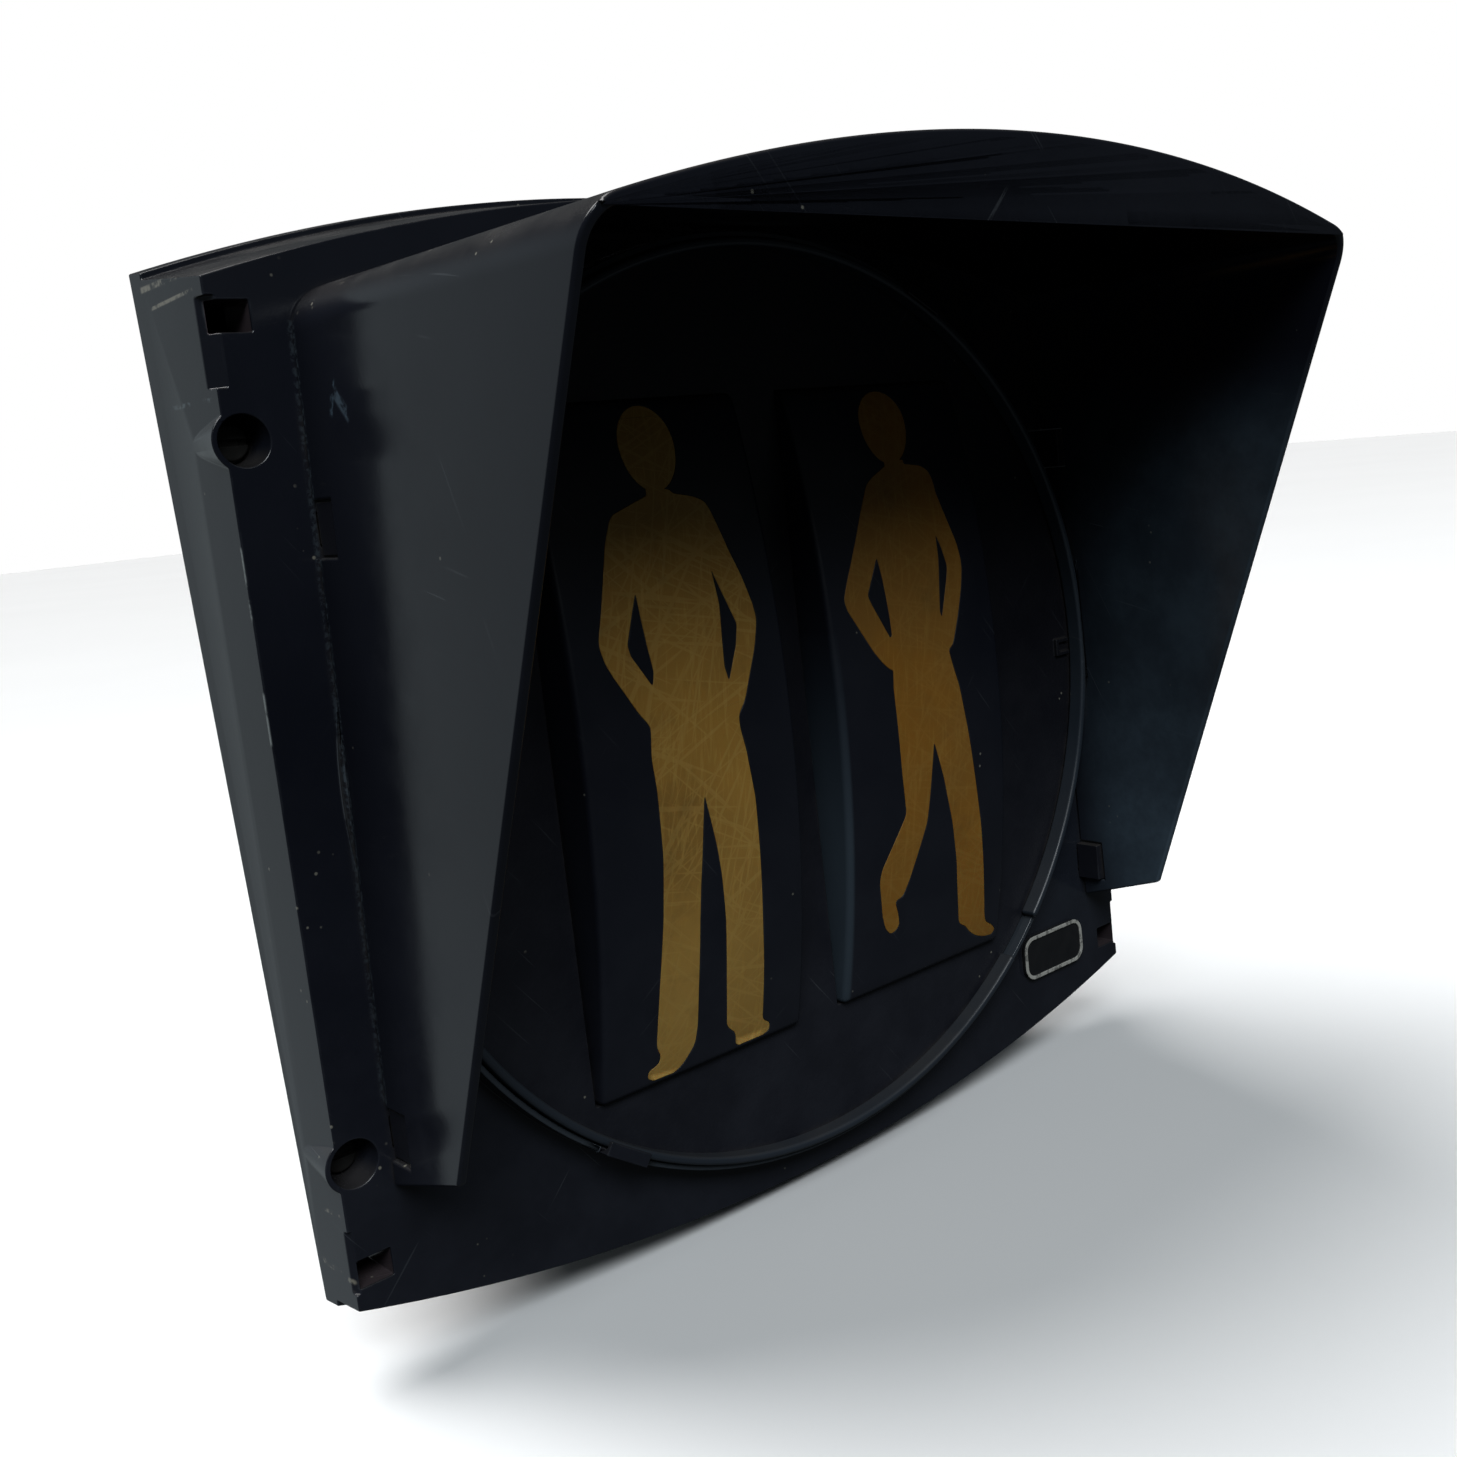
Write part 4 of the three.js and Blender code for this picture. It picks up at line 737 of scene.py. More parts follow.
def with_well(body, z):
    """Adds a screw's boss and the bulge in the side wall, then cuts the well, bore and room for the cam."""
    end = rim_at(z) - 6
    boss = common(
        rod_y(SCREW_X, z, BOSS_R, FACE + 0.5, FACE + end),
        block((-HALF_W + 0.5, 0), (FACE - 1, FACE + 60), (-BIG, BIG)),
    )
    cone = [(0, 0), (BULGE_R[0], 0), (BULGE_R[1], BULGE_D), (0, BULGE_D)]
    bulge = common(
        turned(cone, SCREW_X, z, 64),
        block((-HALF_W - 20, -HALF_W + 0.6), (FACE, FACE + 60), (-BIG, BIG)),
    )
    mouth, floor = WELL_R
    slope = (mouth - floor) / WELL_FLOOR
    well = turned([(0, -1), (mouth + slope, -1), (floor, WELL_FLOOR), (0, WELL_FLOOR)], SCREW_X, z, 64)
    bore = rod_y(SCREW_X, z, SHANK_R + PIN_CLEARANCE, FACE, FACE + 60)
    room = block(
        (SCREW_X - SHANK_R - 0.5, SCREW_X + 4), (FACE + end, FACE + 60), (z - 5, z + CAM_LENGTH + 2.5)
    )
    return cut(join(body, boss, bulge), well, bore, room)


def door_lug(z):
    """A hinge lug on the right side of the door; the two blocks keep it out of the rim and casing."""
    high = (z - LUG_H / 2, z + LUG_H / 2)
    arm = block((HALF_W - 1, HINGE_X), (FACE + 8, FACE + HINGE_D + 2), high)
    clear = [block((0, HALF_W + 0.5), (FACE + rim_at(z) - 0.5, FACE + 60), (z - 9, z + 9)) for _ in range(2)]
    root = block((HALF_W - 1, HALF_W + 1.5), (FACE + 8, FACE + rim_at(z)), high)
    barrel = rod_z(HINGE_X, FACE + HINGE_D, BARREL_R, *high)
    bore = rod_z(HINGE_X, FACE + HINGE_D, PIN_R + PIN_CLEARANCE, z - 20, z + 20)
    return cut(join(cut(arm, clear[0]), root, barrel), clear[1], bore)


def chamfer(side, high, depth, width):
    """A wedge for the front edge of a side wall; it runs on past the edge at both ends."""
    far, front = side * (HALF_W + width / 2), FACE - depth / 2
    corners = [(side * (HALF_W - 1.5 * width), front), (far, FACE + 1.5 * depth), (far, front)]
    return loft([[(x, y, z) for x, y in corners] for z in high])


def door_frame():
    """The front cover: plate and skirt, rear lip, collar, keepers, sockets, wells and hinge lugs."""
    outer = prism_y(door_outline(0), FACE, FACE + 60, FLARE)
    inner = prism_y(door_outline(WALL), FACE + PLATE, FACE + 70, FLARE)
    opening = washer(0, OPENING_R, -5, PLATE + 5)
    body = cut(outer, inner, opening, rim_block(0, True))
    raised = prism_y(door_outline(-LIP_T), FACE, FACE + 60, FLARE)
    core = prism_y(door_outline(WALL - 1), FACE - 1, FACE + 61, FLARE)
    sides = block((-HALF_W, HALF_W), (FACE - 5, FACE + 70), (-BIG, BIG))
    lip = cut(common(raised, sides), core, rim_block(-LIP_W, False), rim_block(0, True))
    body = join(body, lip, collar(), *keepers(), *sockets(SLEEVE_T))
    for z in (SCREW_Z, -SCREW_Z):
        body = with_well(body, z)
    chamfers = [chamfer(side, *sizes) for side in (-1, 1) for sizes in CHAMFERS]
    slots = []
    for side, z in [(side, z) for side in (-1, 1) for z in CLIP_Z]:
        inner, outer = from_hood(PRONG_X, z)
        room = span_on(side, (inner - GAP, outer + GAP))
        slots.append(block(room, (FACE - 1, FACE + PLATE + 1), (z - 3.5, z + 3.5)))
    body = cut(body, *sockets(0), *chamfers, *slots)
    return join(body, door_lug(HINGE_Z), door_lug(-HINGE_Z))


# ---- Hood ----
def hood_lean(z):
    """The hood narrows towards its top: 1 at the foot of its walls, less above."""
    return 1 - HOOD_LEAN * (z - HOOD_FOOT)


def from_hood(distances, z):
    """Distances from the outer face of a hood wall, as X at one height."""
    return [HOOD_HALF * hood_lean(z) + d for d in distances]


def hood_outline(inset):
    """The hood in front view, open at the bottom, set in by its wall or not at all."""
    w = HOOD_HALF - inset
    roof = arched_top(HOOD_HALF, HOOD_TOP, HOOD_RISE, inset, HOOD_CORNER - inset, 12, 40)
    return [(x * hood_lean(z), z) for x, z in ((w, -130), *roof, (-w, -130))]


def hood():
    """A leaning, slightly rising shell, cut to its side view, with room for the ring and the clips."""
    root, tip = FACE - GAP, FACE - HOOD_REACH + TIP_ROOM
    shell = cut(
        prism_y(hood_outline(0), tip - 10, root), prism_y(hood_outline(HOOD_T), tip - 20, root + 10)
    )
    lift = Matrix.Identity(4)
    lift[2][1], lift[2][3] = -HOOD_LIFT, HOOD_LIFT * FACE * MM
    shell.data.transform(lift)
    profile = [
        (root, 140), (tip, 140), (tip, HOOD_TOP + 1), (FACE - HOOD_LOW_REACH, HOOD_LOW[1]),
        (root, HOOD_LOW[0]),
    ]
    body = common(shell, prism_x(profile, -BIG, BIG))
    body = cut(body, washer(0, RING_R + GAP, RING_FRONT - GAP, 1))
    half = CLIP_H / 2 + GAP
    return cut(body, *[block((-BIG, BIG), (FACE - 8.2, FACE), (z - half, z + half)) for z in CLIP_Z])


def hood_clip(side, z):
    """A block in the hood's foot with a barbed prong through the cover."""
    high = (z - CLIP_H / 2, z + CLIP_H / 2)
    narrow = (z - 3.2, z + 3.2)
    inner, outer = from_hood(PRONG_X, z)
    return join(
        block(span_on(side, from_hood(CLIP_X, z)), (FACE - 7.9, FACE - GAP), high),
        block(span_on(side, (inner, outer)), (FACE - 1, FACE + 7), narrow),
        block(span_on(side, (inner - 1.4, outer)), (FACE + PLATE + GAP, FACE + 6), narrow),
    )


# ---- Lens unit ----
def tile_section(inset, back, steps=40):
    half, mid = (TILE_Z[1] - TILE_Z[0]) / 2, (TILE_Z[1] + TILE_Z[0]) / 2
    radius = (half**2 + TILE_CROWN**2) / (2 * TILE_CROWN)
    centre = TILE_EDGE - TILE_CROWN + radius
    h, r = half - inset, radius - inset
    reach = math.asin(h / r)
    points = [(FACE + back, mid - h)]
    for i in range(steps + 1):
        a = -reach + 2 * reach * i / steps
        points.append((FACE + centre - r * math.cos(a), mid + r * math.sin(a)))
    points.append((FACE + back, mid + h))
    return points[::-1]


def tile_block(side, inset, back, soft=0.0):
    x0, x1 = span_on(side, TILE_X)
    body = prism_x(tile_section(inset, back), x0 + inset, x1 - inset)
    return rounded(body, soft, 4) if soft else body


# Figures, drawn for the front view. Each has an outline and the two openings by the arms.
STANDING = {
    "centre": -36.9,
    "head": (1.4, 65.2, 7.5, 8.9, 10.4),
    "outline": (
        (4.6, 55), (5.6, 54), (11, 52.8), (13.8, 51.4), (14.9, 49), (16, 45.5), (17.8, 39.5),
        (20, 33.5), (21.8, 27), (22.3, 23), (20.6, 17), (18.2, 11.3), (15.6, 5), (13.3, 2), (13.3, -1),
        (14.4, -6.5), (15.1, -12.5), (15.8, -18), (16.2, -33), (16.4, -50), (16.7, -60), (16.7, -74.5),
        (19, -76), (19, -78), (17, -78.7), (8.6, -78.7), (8.4, -75), (5.6, -72.5), (5.3, -60),
        (5.3, -45), (4.6, -34), (3.7, -27), (1.2, -14), (0.2, -21), (-1.6, -35.5), (-2.2, -43),
        (-3, -60), (-3.2, -69), (-3.9, -73.5), (-7, -77.2), (-9.6, -78.8), (-15.8, -78.6),
        (-17.3, -77.5), (-17, -75.8), (-14.2, -74.8), (-13.7, -73.1), (-14.9, -70.3), (-14.6, -64),
        (-14, -56), (-12.4, -40), (-11.4, -25.5), (-11.5, -10), (-12, -3), (-11.2, 4), (-13.7, 7.2),
        (-19.1, 16.5), (-20.7, 20), (-21.4, 24), (-19.4, 30.3), (-16.7, 39.5), (-15, 45), (-12.9, 49.4),
        (-11.7, 50.8), (-4.9, 53.1), (-1.6, 54.1), (-1.6, 56),
    ),
    "gaps": (
        (
            (-9.8, 33.5), (-11.7, 29), (-14.2, 22.5), (-13.7, 20), (-9.2, 12.6), (-8.4, 15.7),
            (-9, 20.5), (-9.5, 27),
        ),
        (
            (11.7, 36), (13.6, 30.5), (16.4, 22.8), (15.2, 18), (11.8, 10.2), (11, 13.8), (11.5, 20),
            (12.3, 28),
        ),
    ),
}
WALKING = {
    "centre": 36.9,
    "head": (1.2, 65.8, 7.9, 8, 10.6),
    "outline": (
        (5.4, 56), (5.4, 54.8), (11.2, 54), (13.6, 52.3), (14.4, 50), (14.7, 46.5), (16, 42),
        (17.4, 37.5), (18.9, 33), (19.5, 28.5), (19.3, 25.8), (17.9, 20.8), (15.8, 15), (12.4, 7),
        (10.5, 5.8), (11.5, 1.5), (13.2, -4.2), (14.3, -10.6), (15.6, -18), (17.7, -32), (19.7, -44.5),
        (20.7, -53), (22.5, -70), (23.2, -72.8), (26.3, -74.8), (27.5, -76.4), (26.4, -77.6),
        (23.4, -77.3), (19.7, -76), (16.7, -73.8), (15.1, -71.8), (12.2, -70.1), (10.7, -58.5),
        (10.2, -52), (8.3, -40), (6.8, -34), (5.4, -27.5), (2.3, -17), (0.9, -25.5), (-0.6, -34.5),
        (-1.4, -38.3), (-3.7, -43.3), (-7.8, -52), (-10.2, -56), (-13, -56.5), (-11.6, -60.6),
        (-11.1, -63.4), (-12.4, -64.9), (-14.3, -65.2), (-16, -63.4), (-17.3, -59.7), (-18.6, -50),
        (-17.8, -46.8), (-15.7, -43.8), (-10.5, -36.5), (-8.8, -34), (-9.8, -23), (-10.2, -12.5),
        (-10.6, -1), (-10.1, 3.8), (-11.2, 4.3), (-13.2, 6), (-16, 9.4), (-21.5, 18.4), (-23, 21),
        (-23.5, 23.5), (-22.3, 26.4), (-17.2, 36), (-12.8, 44.5), (-9.2, 50.6), (-7.2, 52.1),
        (-1.4, 54.8), (-1.4, 56),
    ),
    "gaps": (
        (
            (-10.4, 32.6), (-13, 28), (-15.5, 23.6), (-14.6, 21.2), (-9.8, 12), (-9.1, 12.6),
            (-9.1, 18), (-9.7, 28),
        ),
        (
            (11.7, 36), (13, 32.3), (14.1, 27.5), (13.4, 25), (9.5, 14.5), (9, 16), (10, 22.5),
            (11.3, 29.7),
        ),
    ),
}


def grow(points, by):
    """Moves each corner of a closed outline outwards along its bisector."""
    n = len(points)
    pairs = list(zip(points, points[1:] + points[:1]))
    area = sum(a[0] * b[1] - b[0] * a[1] for a, b in pairs)
    out = by if area > 0 else -by
    grown = []
    for i in range(n):
        (px, pz), (x, z), (nx, nz) = points[i - 1], points[i], points[(i + 1) % n]
        a = Vector((z - pz, px - x)).normalized()
        b = Vector((nz - z, x - nx)).normalized()
        m = (a + b).normalized()
        reach = out / max(0.5, m.dot(a))
        grown.append((x + m.x * reach, z + m.y * reach))
    return grown


def softened(points, radius=1.3, steps=3):
    """An outline with each corner cut to a short arc, as a moulded window has."""
    soft = []
    n = len(points)
    for i in range(n):
        before, here, after = (Vector(points[j % n]) for j in (i - 1, i, i + 1))
        back, on = before - here, after - here
        reach = min(radius, back.length * 0.4, on.length * 0.4)
        start, end = here + back.normalized() * reach, here + on.normalized() * reach
        for k in range(steps + 1):
            t = k / steps
            soft.append(tuple(start * (1 - t) ** 2 + here * (2 * t * (1 - t)) + end * t**2))
    return soft


def flat(points, centre, y0, y1):
    return prism_y([(centre + x, z) for x, z in points], y0, y1)


def figure_prism(figure, clearance):
    """A whole figure as a solid; the clearance makes it larger all round."""
    y0, y1 = FACE - 30, FACE + 5
    hx, hz, rx, up, down = figure["head"]
    head = []
    for a in [2 * math.pi * i / 64 for i in range(64)]:
        rz = (up if math.sin(a) > 0 else down) + clearance
        head.append((hx + (rx + clearance) * math.cos(a), hz + rz * math.sin(a)))
    body = join(
        flat(softened(grow(figure["outline"], clearance)), figure["centre"], y0, y1),
        flat(head, figure["centre"], y0, y1),
    )
    holes = [flat(softened(grow(gap, -clearance), 0.8), figure["centre"], y0, y1) for gap in figure["gaps"]]
    return cut(body, *holes)


def mask(side, figure):
    """The dark shell of a tile, with the figure cut out of it."""
    shell = cut(tile_block(side, 0, DISC_BACK + 1, EDGE_SOFT), tile_block(side, MASK_T, 10))
    return cut(shell, figure_prism(figure, FIGURE_GAP))


def lens(side, figure):
    """The amber body under a mask; the figure stands up from it, flush with the mask."""
    inset = MASK_T + GAP
    x0, x1 = span_on(side, TILE_X)
    back = (DISC_BACK + 1 + GAP, DISC_BACK + 4)
    body = tile_block(side, inset, DISC_BACK + 4)
    raised = common(
        figure_prism(figure, 0),
        cut(tile_block(side, 0.02, 0, EDGE_SOFT), tile_block(side, inset + 0.5, 10)),
    )
    limit = washer(0, FLANGE_R, back[0] - 1, back[1] + 1, sides=96)
    flange = common(
        block((x0 - 2.5, x1 + 2.5), (FACE + back[0], FACE + back[1]), (TILE_Z[0] - 3, TILE_Z[1] + 3)), limit
    )
    body = join(body, flange, raised)
    return cut(body, tile_block(side, inset + LENS_T, 20))


def lens_disc():
    """The disc sits in the door's opening, with a flange in front of it, two windows and a small key."""
    rim, flange = OPENING_R - 0.5, DISC_FRONT + DISC_FLANGE
    body = turned([
        (0, DISC_FRONT), (DISC_R, DISC_FRONT), (DISC_R, flange), (rim, flange), (rim, DISC_BACK),
        (0, DISC_BACK),
    ], sides=ROUND)
    windows = []
    for side in (-1, 1):
        x0, x1 = span_on(side, TILE_X)
        high = (TILE_Z[0] - GAP, TILE_Z[1] + GAP)
        windows.append(block((x0 - GAP, x1 + GAP), (FACE - 10, FACE + 10), high))
    front = FACE + DISC_FRONT
    key = cut(
        block(KEY_X, (front - 1.2, front + 0.5), KEY_Z),
        block((KEY_X[0] + 1.2, KEY_X[1] + 1), (front - 2, front), (KEY_Z[0] + 1.2, KEY_Z[1] - 1.2)),
    )
    return join(cut(body, *windows), key)


def lens_gasket():
    return washer(OPENING_R + 0.6, DISC_R - 0.5, -GAP, DISC_FRONT + DISC_FLANGE + GAP)


def retaining_ring():
    """A split ring; the wedge that splits it points at the blank plate."""
    ring = washer(RING_R - RING_T, RING_R, RING_FRONT, DISC_FRONT - GAP, sides=180)
    ends = [(150 * math.cos(math.radians(a)), 150 * math.sin(math.radians(a))) for a in RING_GAP]
    return cut(ring, prism_y([(0, 0), *ends], FACE - 20, FACE + 5))


def emblem_plate():
    """The blank plate: a shallow tray with a raised border."""
    w, h = EMBLEM_HALF
    plate, field = [
        rounded_box(w - inset, h - inset, EMBLEM_CORNER - inset, 8, EMBLEM_AT) for inset in (0, EMBLEM_BORDER)
    ]
    return cut(prism_y(plate, FACE - 1.6, FACE - GAP), prism_y(field, FACE - 5, FACE - 1.1))


def rim_gasket():
    band = cut(
        prism_y(door_outline(1.4, 24), FACE, FACE + 60, FLARE),
        prism_y(door_outline(WALL - 0.2, 22), FACE - 1, FACE + 61, FLARE),
    )
    return cut(band, rim_block(GAP, False), rim_block(GAP + RIM_SEAL, True))


# ---- Captive screws and catches ----
def captive_screw(z):
    seat = FACE + WELL_FLOOR - GAP
    top = seat - HEAD_T
    slot = block((SCREW_X - 5, SCREW_X + 5), (top - 1, top + 1.2), (z - 0.6, z + 0.6))
    back = FACE + rim_at(z) - 1.5
    cam = block((SCREW_X - SHANK_R, SCREW_X + SHANK_R), (FACE + rim_at(z) - 3.5, back), (z, z + CAM_LENGTH))
    head = cut(rounded(rod_y(SCREW_X, z, HEAD_R, top, seat), 0.5), slot)
    return join(head, rod_y(SCREW_X, z, SHANK_R, seat - 1, back), cam)


def latch_catch(z):
    """An angle on the casing's flange; its lip is what the cam turns behind."""
    lip = FACE + rim_at(z) - 5.5
    seat = RIM_SEAL + 2 * GAP
    foot = FACE + rim_at(z - 6) + seat
    base = cut(
        block(CATCH_FOOT_X, (foot - 14, foot + 1), (z - 6, z + 6)),
        rim_block(seat - 2, False),
        rim_block(RIM_SEAL + GAP, True),
    )
    return join(
        block(CATCH_LIP_X, (lip, lip + CATCH_LIP), (z - 5, z + 5)),
        block(CATCH_WEB_X, (lip, foot - GAP), (z - 5, z + 5)),
        base,
    )


# ---- Rear casing ----
def fixing_slots():
    w, h = SLOT_SIZE
    return [prism_y(rounded_box(w / 2, h / 2, 4.9, 8, (0, z)), -20, 5) for z in SLOT_Z]


def case_lug(z):
    top = z - LUG_H / 2 - 0.4
    high = (top - 8, top)
    seat = FACE + rim_at(z) + RIM_SEAL + 2 * GAP
    foot = block((HALF_W - 6, HINGE_X + BARREL_R), (seat + 0.5, seat + FLANGE_T), high)
    link = block(
        (HALF_W + 0.6, HINGE_X + BARREL_R),
        (min(seat, FACE + HINGE_D), max(seat + FLANGE_T, FACE + HINGE_D)),
        high,
    )
    barrel = rod_z(HINGE_X, FACE + HINGE_D, BARREL_R, *high)
    bore = rod_z(HINGE_X, FACE + HINGE_D, PIN_R + GAP, z - 30, z + 30)
    return cut(join(foot, link, barrel), bore)


def rear_casing():
    """A tapering tub with a sloping flange, gland boss, bracket posts, bolt bores and fixing slots."""
    start, back = FACE + 10, FACE + CASE_BACK
    tub = prism_y(rounded_box(*TUB, 14), start, back, taper=CASE_TAPER)
    reach = (back - CASE_WALL - start + 20) / (back - start + 20)
    inner = rounded_box(*[v - CASE_WALL for v in TUB], 14)
    hollow = prism_y(inner, start - 20, back - CASE_WALL, taper=1 + (CASE_TAPER - 1) * reach)
    seat = RIM_SEAL + 2 * GAP
    flange = cut(
        prism_y(door_outline(2.4, 26), FACE, FACE + 70, FLARE),
        rim_block(seat, False),
        rim_block(seat + FLANGE_T, True),
    )
    tub = rounded(tub, 5.0, 5, 60)
    body = cut(join(cut(tub, rim_block(seat, False)), flange), hollow)
    boss = rod_z(0, FACE + GLAND_D, GLAND_R + 5, *GLAND_WALL)
    posts = [rod_y(x, z, 5, FACE + POST_FRONT, back - 1) for x, z in POSTS]
    body = join(body, boss, case_lug(HINGE_Z), case_lug(-HINGE_Z), *posts)
    bores = [rod_y(x, z, BOLT_R + GAP, back - 8, back + 1) for x, z in BOLTS]
    post_bores = [rod_y(x, z, 2 + GAP, FACE + POST_FRONT - 1, FACE + POST_FRONT + 12) for x, z in POSTS]
    gland = rod_z(0, FACE + GLAND_D, GLAND_R + 0.4, -100, -70)
    return cut(body, *bores, gland, *post_bores, *fixing_slots())


def mount_plate():
    w, h = PAD
    plate = prism_y(rounded_box(w / 2, h / 2, 8, 10), FACE + CASE_BACK + GAP, 0)
    bores = [rod_y(x, z, BOLT_R + GAP, -8, -2.5) for x, z in BOLTS]
    return cut(plate, *bores, *fixing_slots())


def mount_bolt(x, z):
    front = FACE + CASE_BACK - CASE_WALL - GAP
    head = rounded(prism_y(circle(x, z, 7.5, 6, 0.5), front - 5.3, front), 0.6)
    return join(rod_y(x, z, BOLT_R, front - 1, -3), head)


# ---- Lamps ----
def lamp_bracket():
    y = (FACE + BRACKET_FRONT, FACE + BRACKET_D)
    low, high = BRACKET_Z
    ends = [block(span_on(side, BRACKET_X), y, (-high, high)) for side in (-1, 1)]
    plate = join(block((-BRACKET_X[1], BRACKET_X[1]), y, (-low, low)), *ends)
    holes = [rod_y(side * CHAMBER_X, 0, HOLDER_R + 0.4, y[0] - 1, y[1] + 1) for side in (-1, 1)]
    screws = [rod_y(x, z, 2 + GAP, y[0] - 1, y[1] + 1) for x, z in POSTS]
    return cut(plate, *holes, *screws)


def bracket_screw(x, z):
    front = FACE + BRACKET_FRONT - GAP
    head = rounded(rod_y(x, z, 4, front - 2.4, front), 0.9, 3)
    slot = block((x - 5, x + 5), (front - 3, front - 1.4), (z - 0.5, z + 0.5))
    return join(cut(head, slot), rod_y(x, z, 2, front - 1, FACE + POST_FRONT + 10))


def reflector(side):
    """A four-sided parabolic trough with rounded corners, on two feet."""
    front, back = REFLECTOR_D
    w, h = REFLECTOR_HALF
    x = side * CHAMBER_X
    steps = 24
    parts = [i / steps for i in range(steps + 1)]
    inner = [(0.45 + 0.55 * math.sqrt(t), back - (back - front) * t) for t in parts]
    outer = [(r + 0.045, d) for r, d in reversed(inner)]
    rings = []
    for r, d in [*inner, *outer]:
        rings.append([(x + u, FACE + d, v) for u, v in rounded_box(r * w, r * h, 5, 6)])
    trough = loft(rings, closed=True)
    feet = [
        block((x - 6, x + 6), (FACE + back - 1, FACE + BRACKET_FRONT - GAP), span_on(up, (31.2, 33.4)))
        for up in (-1, 1)
    ]
    return join(trough, *feet)


def lampholder(side):
    x = side * CHAMBER_X
    floor, bore, front = BRACKET_D - 3, HOLDER_R - 1.4, REFLECTOR_D[1] + 0.6
    shell = turned([
        (0, HOLDER_BACK), (HOLDER_R - 2, HOLDER_BACK), (HOLDER_R, HOLDER_BACK - 2), (HOLDER_R, front),
        (bore, front), (bore, floor), (0, floor),
    ], x)
    return join(shell, washer(HOLDER_R - 0.4, HOLDER_R + 3.5, BRACKET_FRONT - GAP, BRACKET_D - 5, x, 96))


def bulb_cap(side):
    back = BRACKET_D - 3 - GAP
    profile = [(0, back), (8.6, back), (11, BRACKET_D - 5)]
    ribs = 6
    for i in range(ribs * 4 + 1):
        d = BRACKET_D - 6 - (BRACKET_D - 6 - CAP_D - 2) * i / (ribs * 4)
        profile.append((10.55 + 0.4 * math.cos(2 * math.pi * i / 4), d))
    profile += [(11, CAP_D + 1), (10.2, CAP_D), (0, CAP_D)]
    return turned(profile, side * CHAMBER_X, 0, 64)


def bulb_glass(side):
    profile = [(0, CAP_D - GAP), (8, CAP_D - GAP)]
    for i in range(28):
        a = math.radians(56 - i / 28 * 146)
        profile.append((BULB_R * math.cos(a), BULB_D + BULB_R * math.sin(a)))
    profile.append((0, BULB_D - BULB_R))
    return turned(profile, side * CHAMBER_X, 0, 64)


def partition():
    """The sheet between the two lamps, stepped round the terminal block."""
    rear = BRACKET_FRONT - GAP
    profile = [(14, 88), (rear, 78), (rear, -64), (66, -64), (66, -84), (14, -88)]
    return prism_x([(FACE + d, z) for d, z in profile], -1, 1)


# ---- Wiring ----
def terminal_block():
    back = FACE + CASE_BACK - CASE_WALL - GAP
    mid = sum(BLOCK_Z) / 2
    body = block(BLOCK_X, (back - 16, back), BLOCK_Z)
    wells = [rod_y(x, mid, 2.6, back - 20, back - 10, 32) for x in TERMINALS]
    between = [(a + b) / 2 for a, b in zip(TERMINALS, TERMINALS[1:])]
    grooves = [block((x - 0.6, x + 0.6), (back - 20, back - 11), (mid - 30, mid + 11)) for x in between]
    return cut(body, *wells, *grooves)


def lamp_lead(side):
    """A round lead from the rear of a lampholder down to the terminal block."""
    x, end, low = side * CHAMBER_X, side * TERMINALS[3], HOLDER_BACK + 5.4
    stops = [
        (x, HOLDER_BACK + 2 * GAP, -4), (x, HOLDER_BACK + 3, -4.6), (x, low, -9), (x, low, -18),
        (side * 29, low, -32), (end, 93.5, -45), (end, 92.7, BLOCK_Z[1] + GAP),
    ]
    stops = [Vector((a, FACE + d, c)) for a, d, c in stops]
    path = []
    for i in range(len(stops) - 1):
        p0, p1, p2, p3 = (stops[max(0, min(len(stops) - 1, i + k))] for k in (-1, 0, 1, 2))
        for k in range(8):
            t = k / 8
            path.append(0.5 * (2 * p1 + (p2 - p0) * t + (2 * p0 - 5 * p1 + 4 * p2 - p3) * t**2
                               + (3 * p1 - p0 - 3 * p2 + p3) * t**3))
    path.append(stops[-1])
    rings = []
    for i, p in enumerate(path):
        way = (path[min(i + 1, len(path) - 1)] - path[max(i - 1, 0)]).normalized()
        across = Vector((1, 0, 0)) - way * way.x
        across.normalize()
        other = way.cross(across)
        angles = [2 * math.pi * k / 20 for k in range(20)]
        rings.append([tuple(p + (across * math.cos(a) + other * math.sin(a)) * LEAD_R) for a in angles])
    return loft(rings)


def hexagon(x, y, r, z0, z1):
    return rounded(rod_z(x, y, r, z0, z1, 6, 0.5), 0.6)


def cable_gland():
    y = FACE + GLAND_D
    low, high = GLAND_WALL
    body = join(
        rod_z(0, y, GLAND_R, low - 12, high + 5),
        hexagon(0, y, 11.5, low - GAP - 6, low - GAP),
        rounded(rod_z(0, y, 9.5, low - 15, low - 6), 1.2),
    )
    return cut(body, rod_z(0, y, GLAND_BORE, low - 30, high + 30))


def gland_nut():
    y, low = FACE + GLAND_D, GLAND_WALL[1] + GAP
    return cut(hexagon(0, y, 11.5, low, low + 4), rod_z(0, y, GLAND_R + GAP, -90, -60))


def hinge_pin(z):
    y, low, high = FACE + HINGE_D, z - LUG_H / 2 - 8.2, z + LUG_H / 2 + 0.4
    head = rounded(rod_z(HINGE_X, y, 4, high, high + 2.2), 0.7)
    return join(rod_z(HINGE_X, y, PIN_R, low, high + 0.5), head)


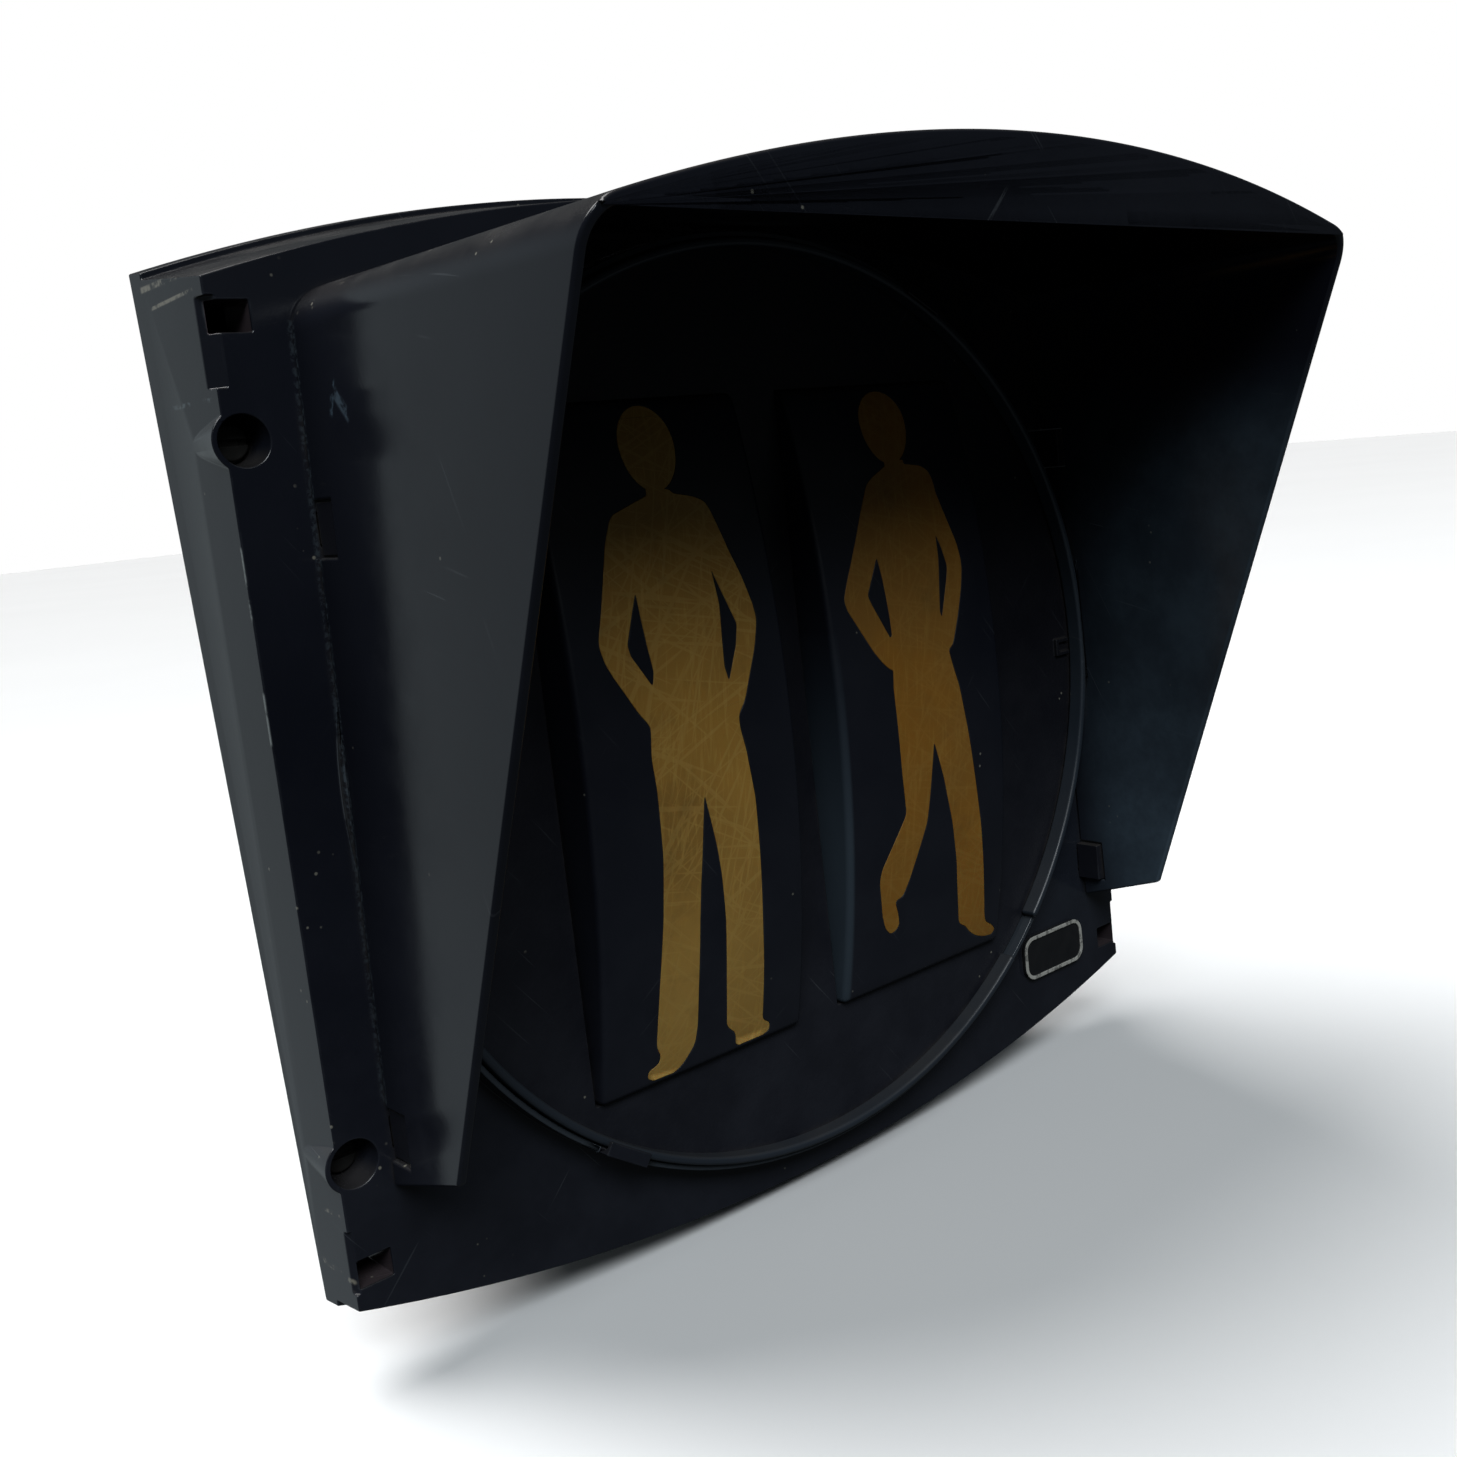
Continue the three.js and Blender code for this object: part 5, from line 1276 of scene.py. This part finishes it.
# ---- Assembly ----
piece("door_frame", door_frame(), "door", "housing", 0.3, angle=20)
piece("hood", hood(), "door", "housing", 0.7, 3, miter="MITER_SHARP")
for side, z in [(side, z) for side in (-1, 1) for z in CLIP_Z]:
    place = f"hood_clip_{'left' if side < 0 else 'right'}_{'upper' if z > 0 else 'lower'}"
    piece(place, hood_clip(side, z), "door", "trim", 0.3)
piece("lens_disc", lens_disc(), "door", "disc", 0.3)
piece("lens_gasket", lens_gasket(), "door", "rubber", 0.2)
piece("retaining_ring", retaining_ring(), "door", "housing", 0.85, 4, paint=ring)
for name, side, figure in (("standing", -1, STANDING), ("walking", 1, WALKING)):
    piece(f"{name}_mask", mask(side, figure), "door", "mask", 0.12)
    piece(f"{name}_lens", lens(side, figure), "door", "amber_lens", 0.12)
piece("emblem_plate", emblem_plate(), "door", "badge", 0.2)
piece("rim_gasket", rim_gasket(), "door", "rubber", 0.3)
for name, z in (("upper", SCREW_Z), ("lower", -SCREW_Z)):
    piece(f"screw_{name}", captive_screw(z), f"screw_{name}", "dark_steel", 0.15)
    piece(f"catch_{name}", latch_catch(z), "root", "zinc_plate", 0.25)
for name, z in (("upper", HINGE_Z), ("lower", -HINGE_Z)):
    piece(f"hinge_pin_{name}", hinge_pin(z), "root", "steel", 0.2)
piece("rear_casing", rear_casing(), "root", "housing", 0.4)
piece("mount_plate", mount_plate(), "root", "zinc_plate", 0.4)
for i, (x, z) in enumerate(BOLTS):
    piece(f"mount_bolt_{i + 1}", mount_bolt(x, z), "root", "steel", 0.15)
piece("lamp_bracket", lamp_bracket(), "root", "zinc_plate", 0.2)
for i, (x, z) in enumerate(POSTS):
    piece(f"bracket_screw_{i + 1}", bracket_screw(x, z), "root", "steel", 0.1)
for name, side in (("standing", -1), ("walking", 1)):
    piece(f"{name}_reflector", reflector(side), "root", "reflector", 0)
    piece(f"{name}_lampholder", lampholder(side), "root", "ceramic", 0.4)
    piece(f"{name}_bulb_cap", bulb_cap(side), "root", "brass", 0)
    piece(f"{name}_bulb_glass", bulb_glass(side), "root", "bulb_glass", 0)
    piece(f"{name}_lead", lamp_lead(side), "root", "cable", 0)
piece("partition", partition(), "root", "trim", 0.3)
piece("terminal_block", terminal_block(), "root", "terminal", 0.4)
piece("cable_gland", cable_gland(), "root", "trim", 0.3)
piece("gland_nut", gland_nut(), "root", "trim", 0.3)

# ---- Studio ----
FLOOR_Z = cad_low.z / MM - 0.6
FLOOR_REACH = 6000.0
corners = [(u * FLOOR_REACH, v * FLOOR_REACH, FLOOR_Z) for u, v in ((-1, -1), (1, -1), (1, 1), (-1, 1))]
floor = make("floor", corners, [(0, 1, 2, 3)])
paper = Paint("floor_paper")
tone = paper.mix(paper.noise(3.0), (0.86, 0.86, 0.86), (0.90, 0.90, 0.90))
floor.data.materials.append(paper.surface(tone, Roughness=0.9, Specular_IOR_Level=0.1))
floor.visible_glossy = False
floor.visible_diffuse = False

# The camera sees white; the light is dim, but for a soft glow from behind that the left side mirrors.
GLOW_WAY, GLOW_EDGE, GLOW_STRENGTH = Vector((-0.45, 0.87, -0.1)), (0.70, 0.92), (0.05, 0.32)
world = bpy.data.worlds.new("studio")
scene.world = world
world.use_nodes = True
air = Nodes(world.node_tree, "Generated")
dim = air.tree.nodes["Background"]
air.feed((0.83, 0.95, 1.0, 1), dim.inputs["Color"])
toward = air.dot(air.where, GLOW_WAY.normalized())
air.feed(air.ramp(toward, *GLOW_EDGE, *GLOW_STRENGTH), dim.inputs["Strength"])
white = air.add("ShaderNodeBackground")
air.feed((1, 1, 1, 1), white.inputs["Color"])
rays = air.add("ShaderNodeLightPath")
choose = air.add("ShaderNodeMixShader")
for i, value in enumerate((rays.outputs["Is Camera Ray"], dim.outputs[0], white.outputs[0])):
    air.feed(value, choose.inputs[i])
air.feed(choose.outputs[0], air.tree.nodes["World Output"].inputs["Surface"])


def studio_light(name, kind, way, energy, color=(1, 1, 1)):
    data = bpy.data.lights.new(name, kind)
    data.energy, data.color = energy, color
    lamp = bpy.data.objects.new(name, data)
    lamp.rotation_euler = Vector(way).to_track_quat("-Z", "Y").to_euler()
    scene.collection.objects.link(lamp)
    return lamp


FRONT_AT, FRONT_AIM = Vector((-0.9, -1.7, 1.6)), Vector((0, -0.1, -0.05))
front = studio_light("front_high", "AREA", FRONT_AIM - FRONT_AT, 42, (0.90, 0.96, 1.0))
front.location = FRONT_AT
front.data.shape = "RECTANGLE"
front.data.size, front.data.size_y = 1.7, 0.9
sky = studio_light("sky", "SUN", (0.25, -0.35, -1), 3.3)
sky.data.angle = math.radians(50)

CAMERA_AT = (-0.2464, -0.4136, 0.0616)
CAMERA_TURN = (81.68, 5.34, -44.96)
lens_data = bpy.data.cameras.new("camera")
lens_data.sensor_width = 36.0
lens_data.lens = 39.17
lens_data.shift_x, lens_data.shift_y = -0.1235, -0.0412
lens_data.clip_start = 0.01
camera = bpy.data.objects.new("camera", lens_data)
camera.location = CAMERA_AT
camera.rotation_euler = [math.radians(v) for v in CAMERA_TURN]
scene.collection.objects.link(camera)
scene.camera = camera
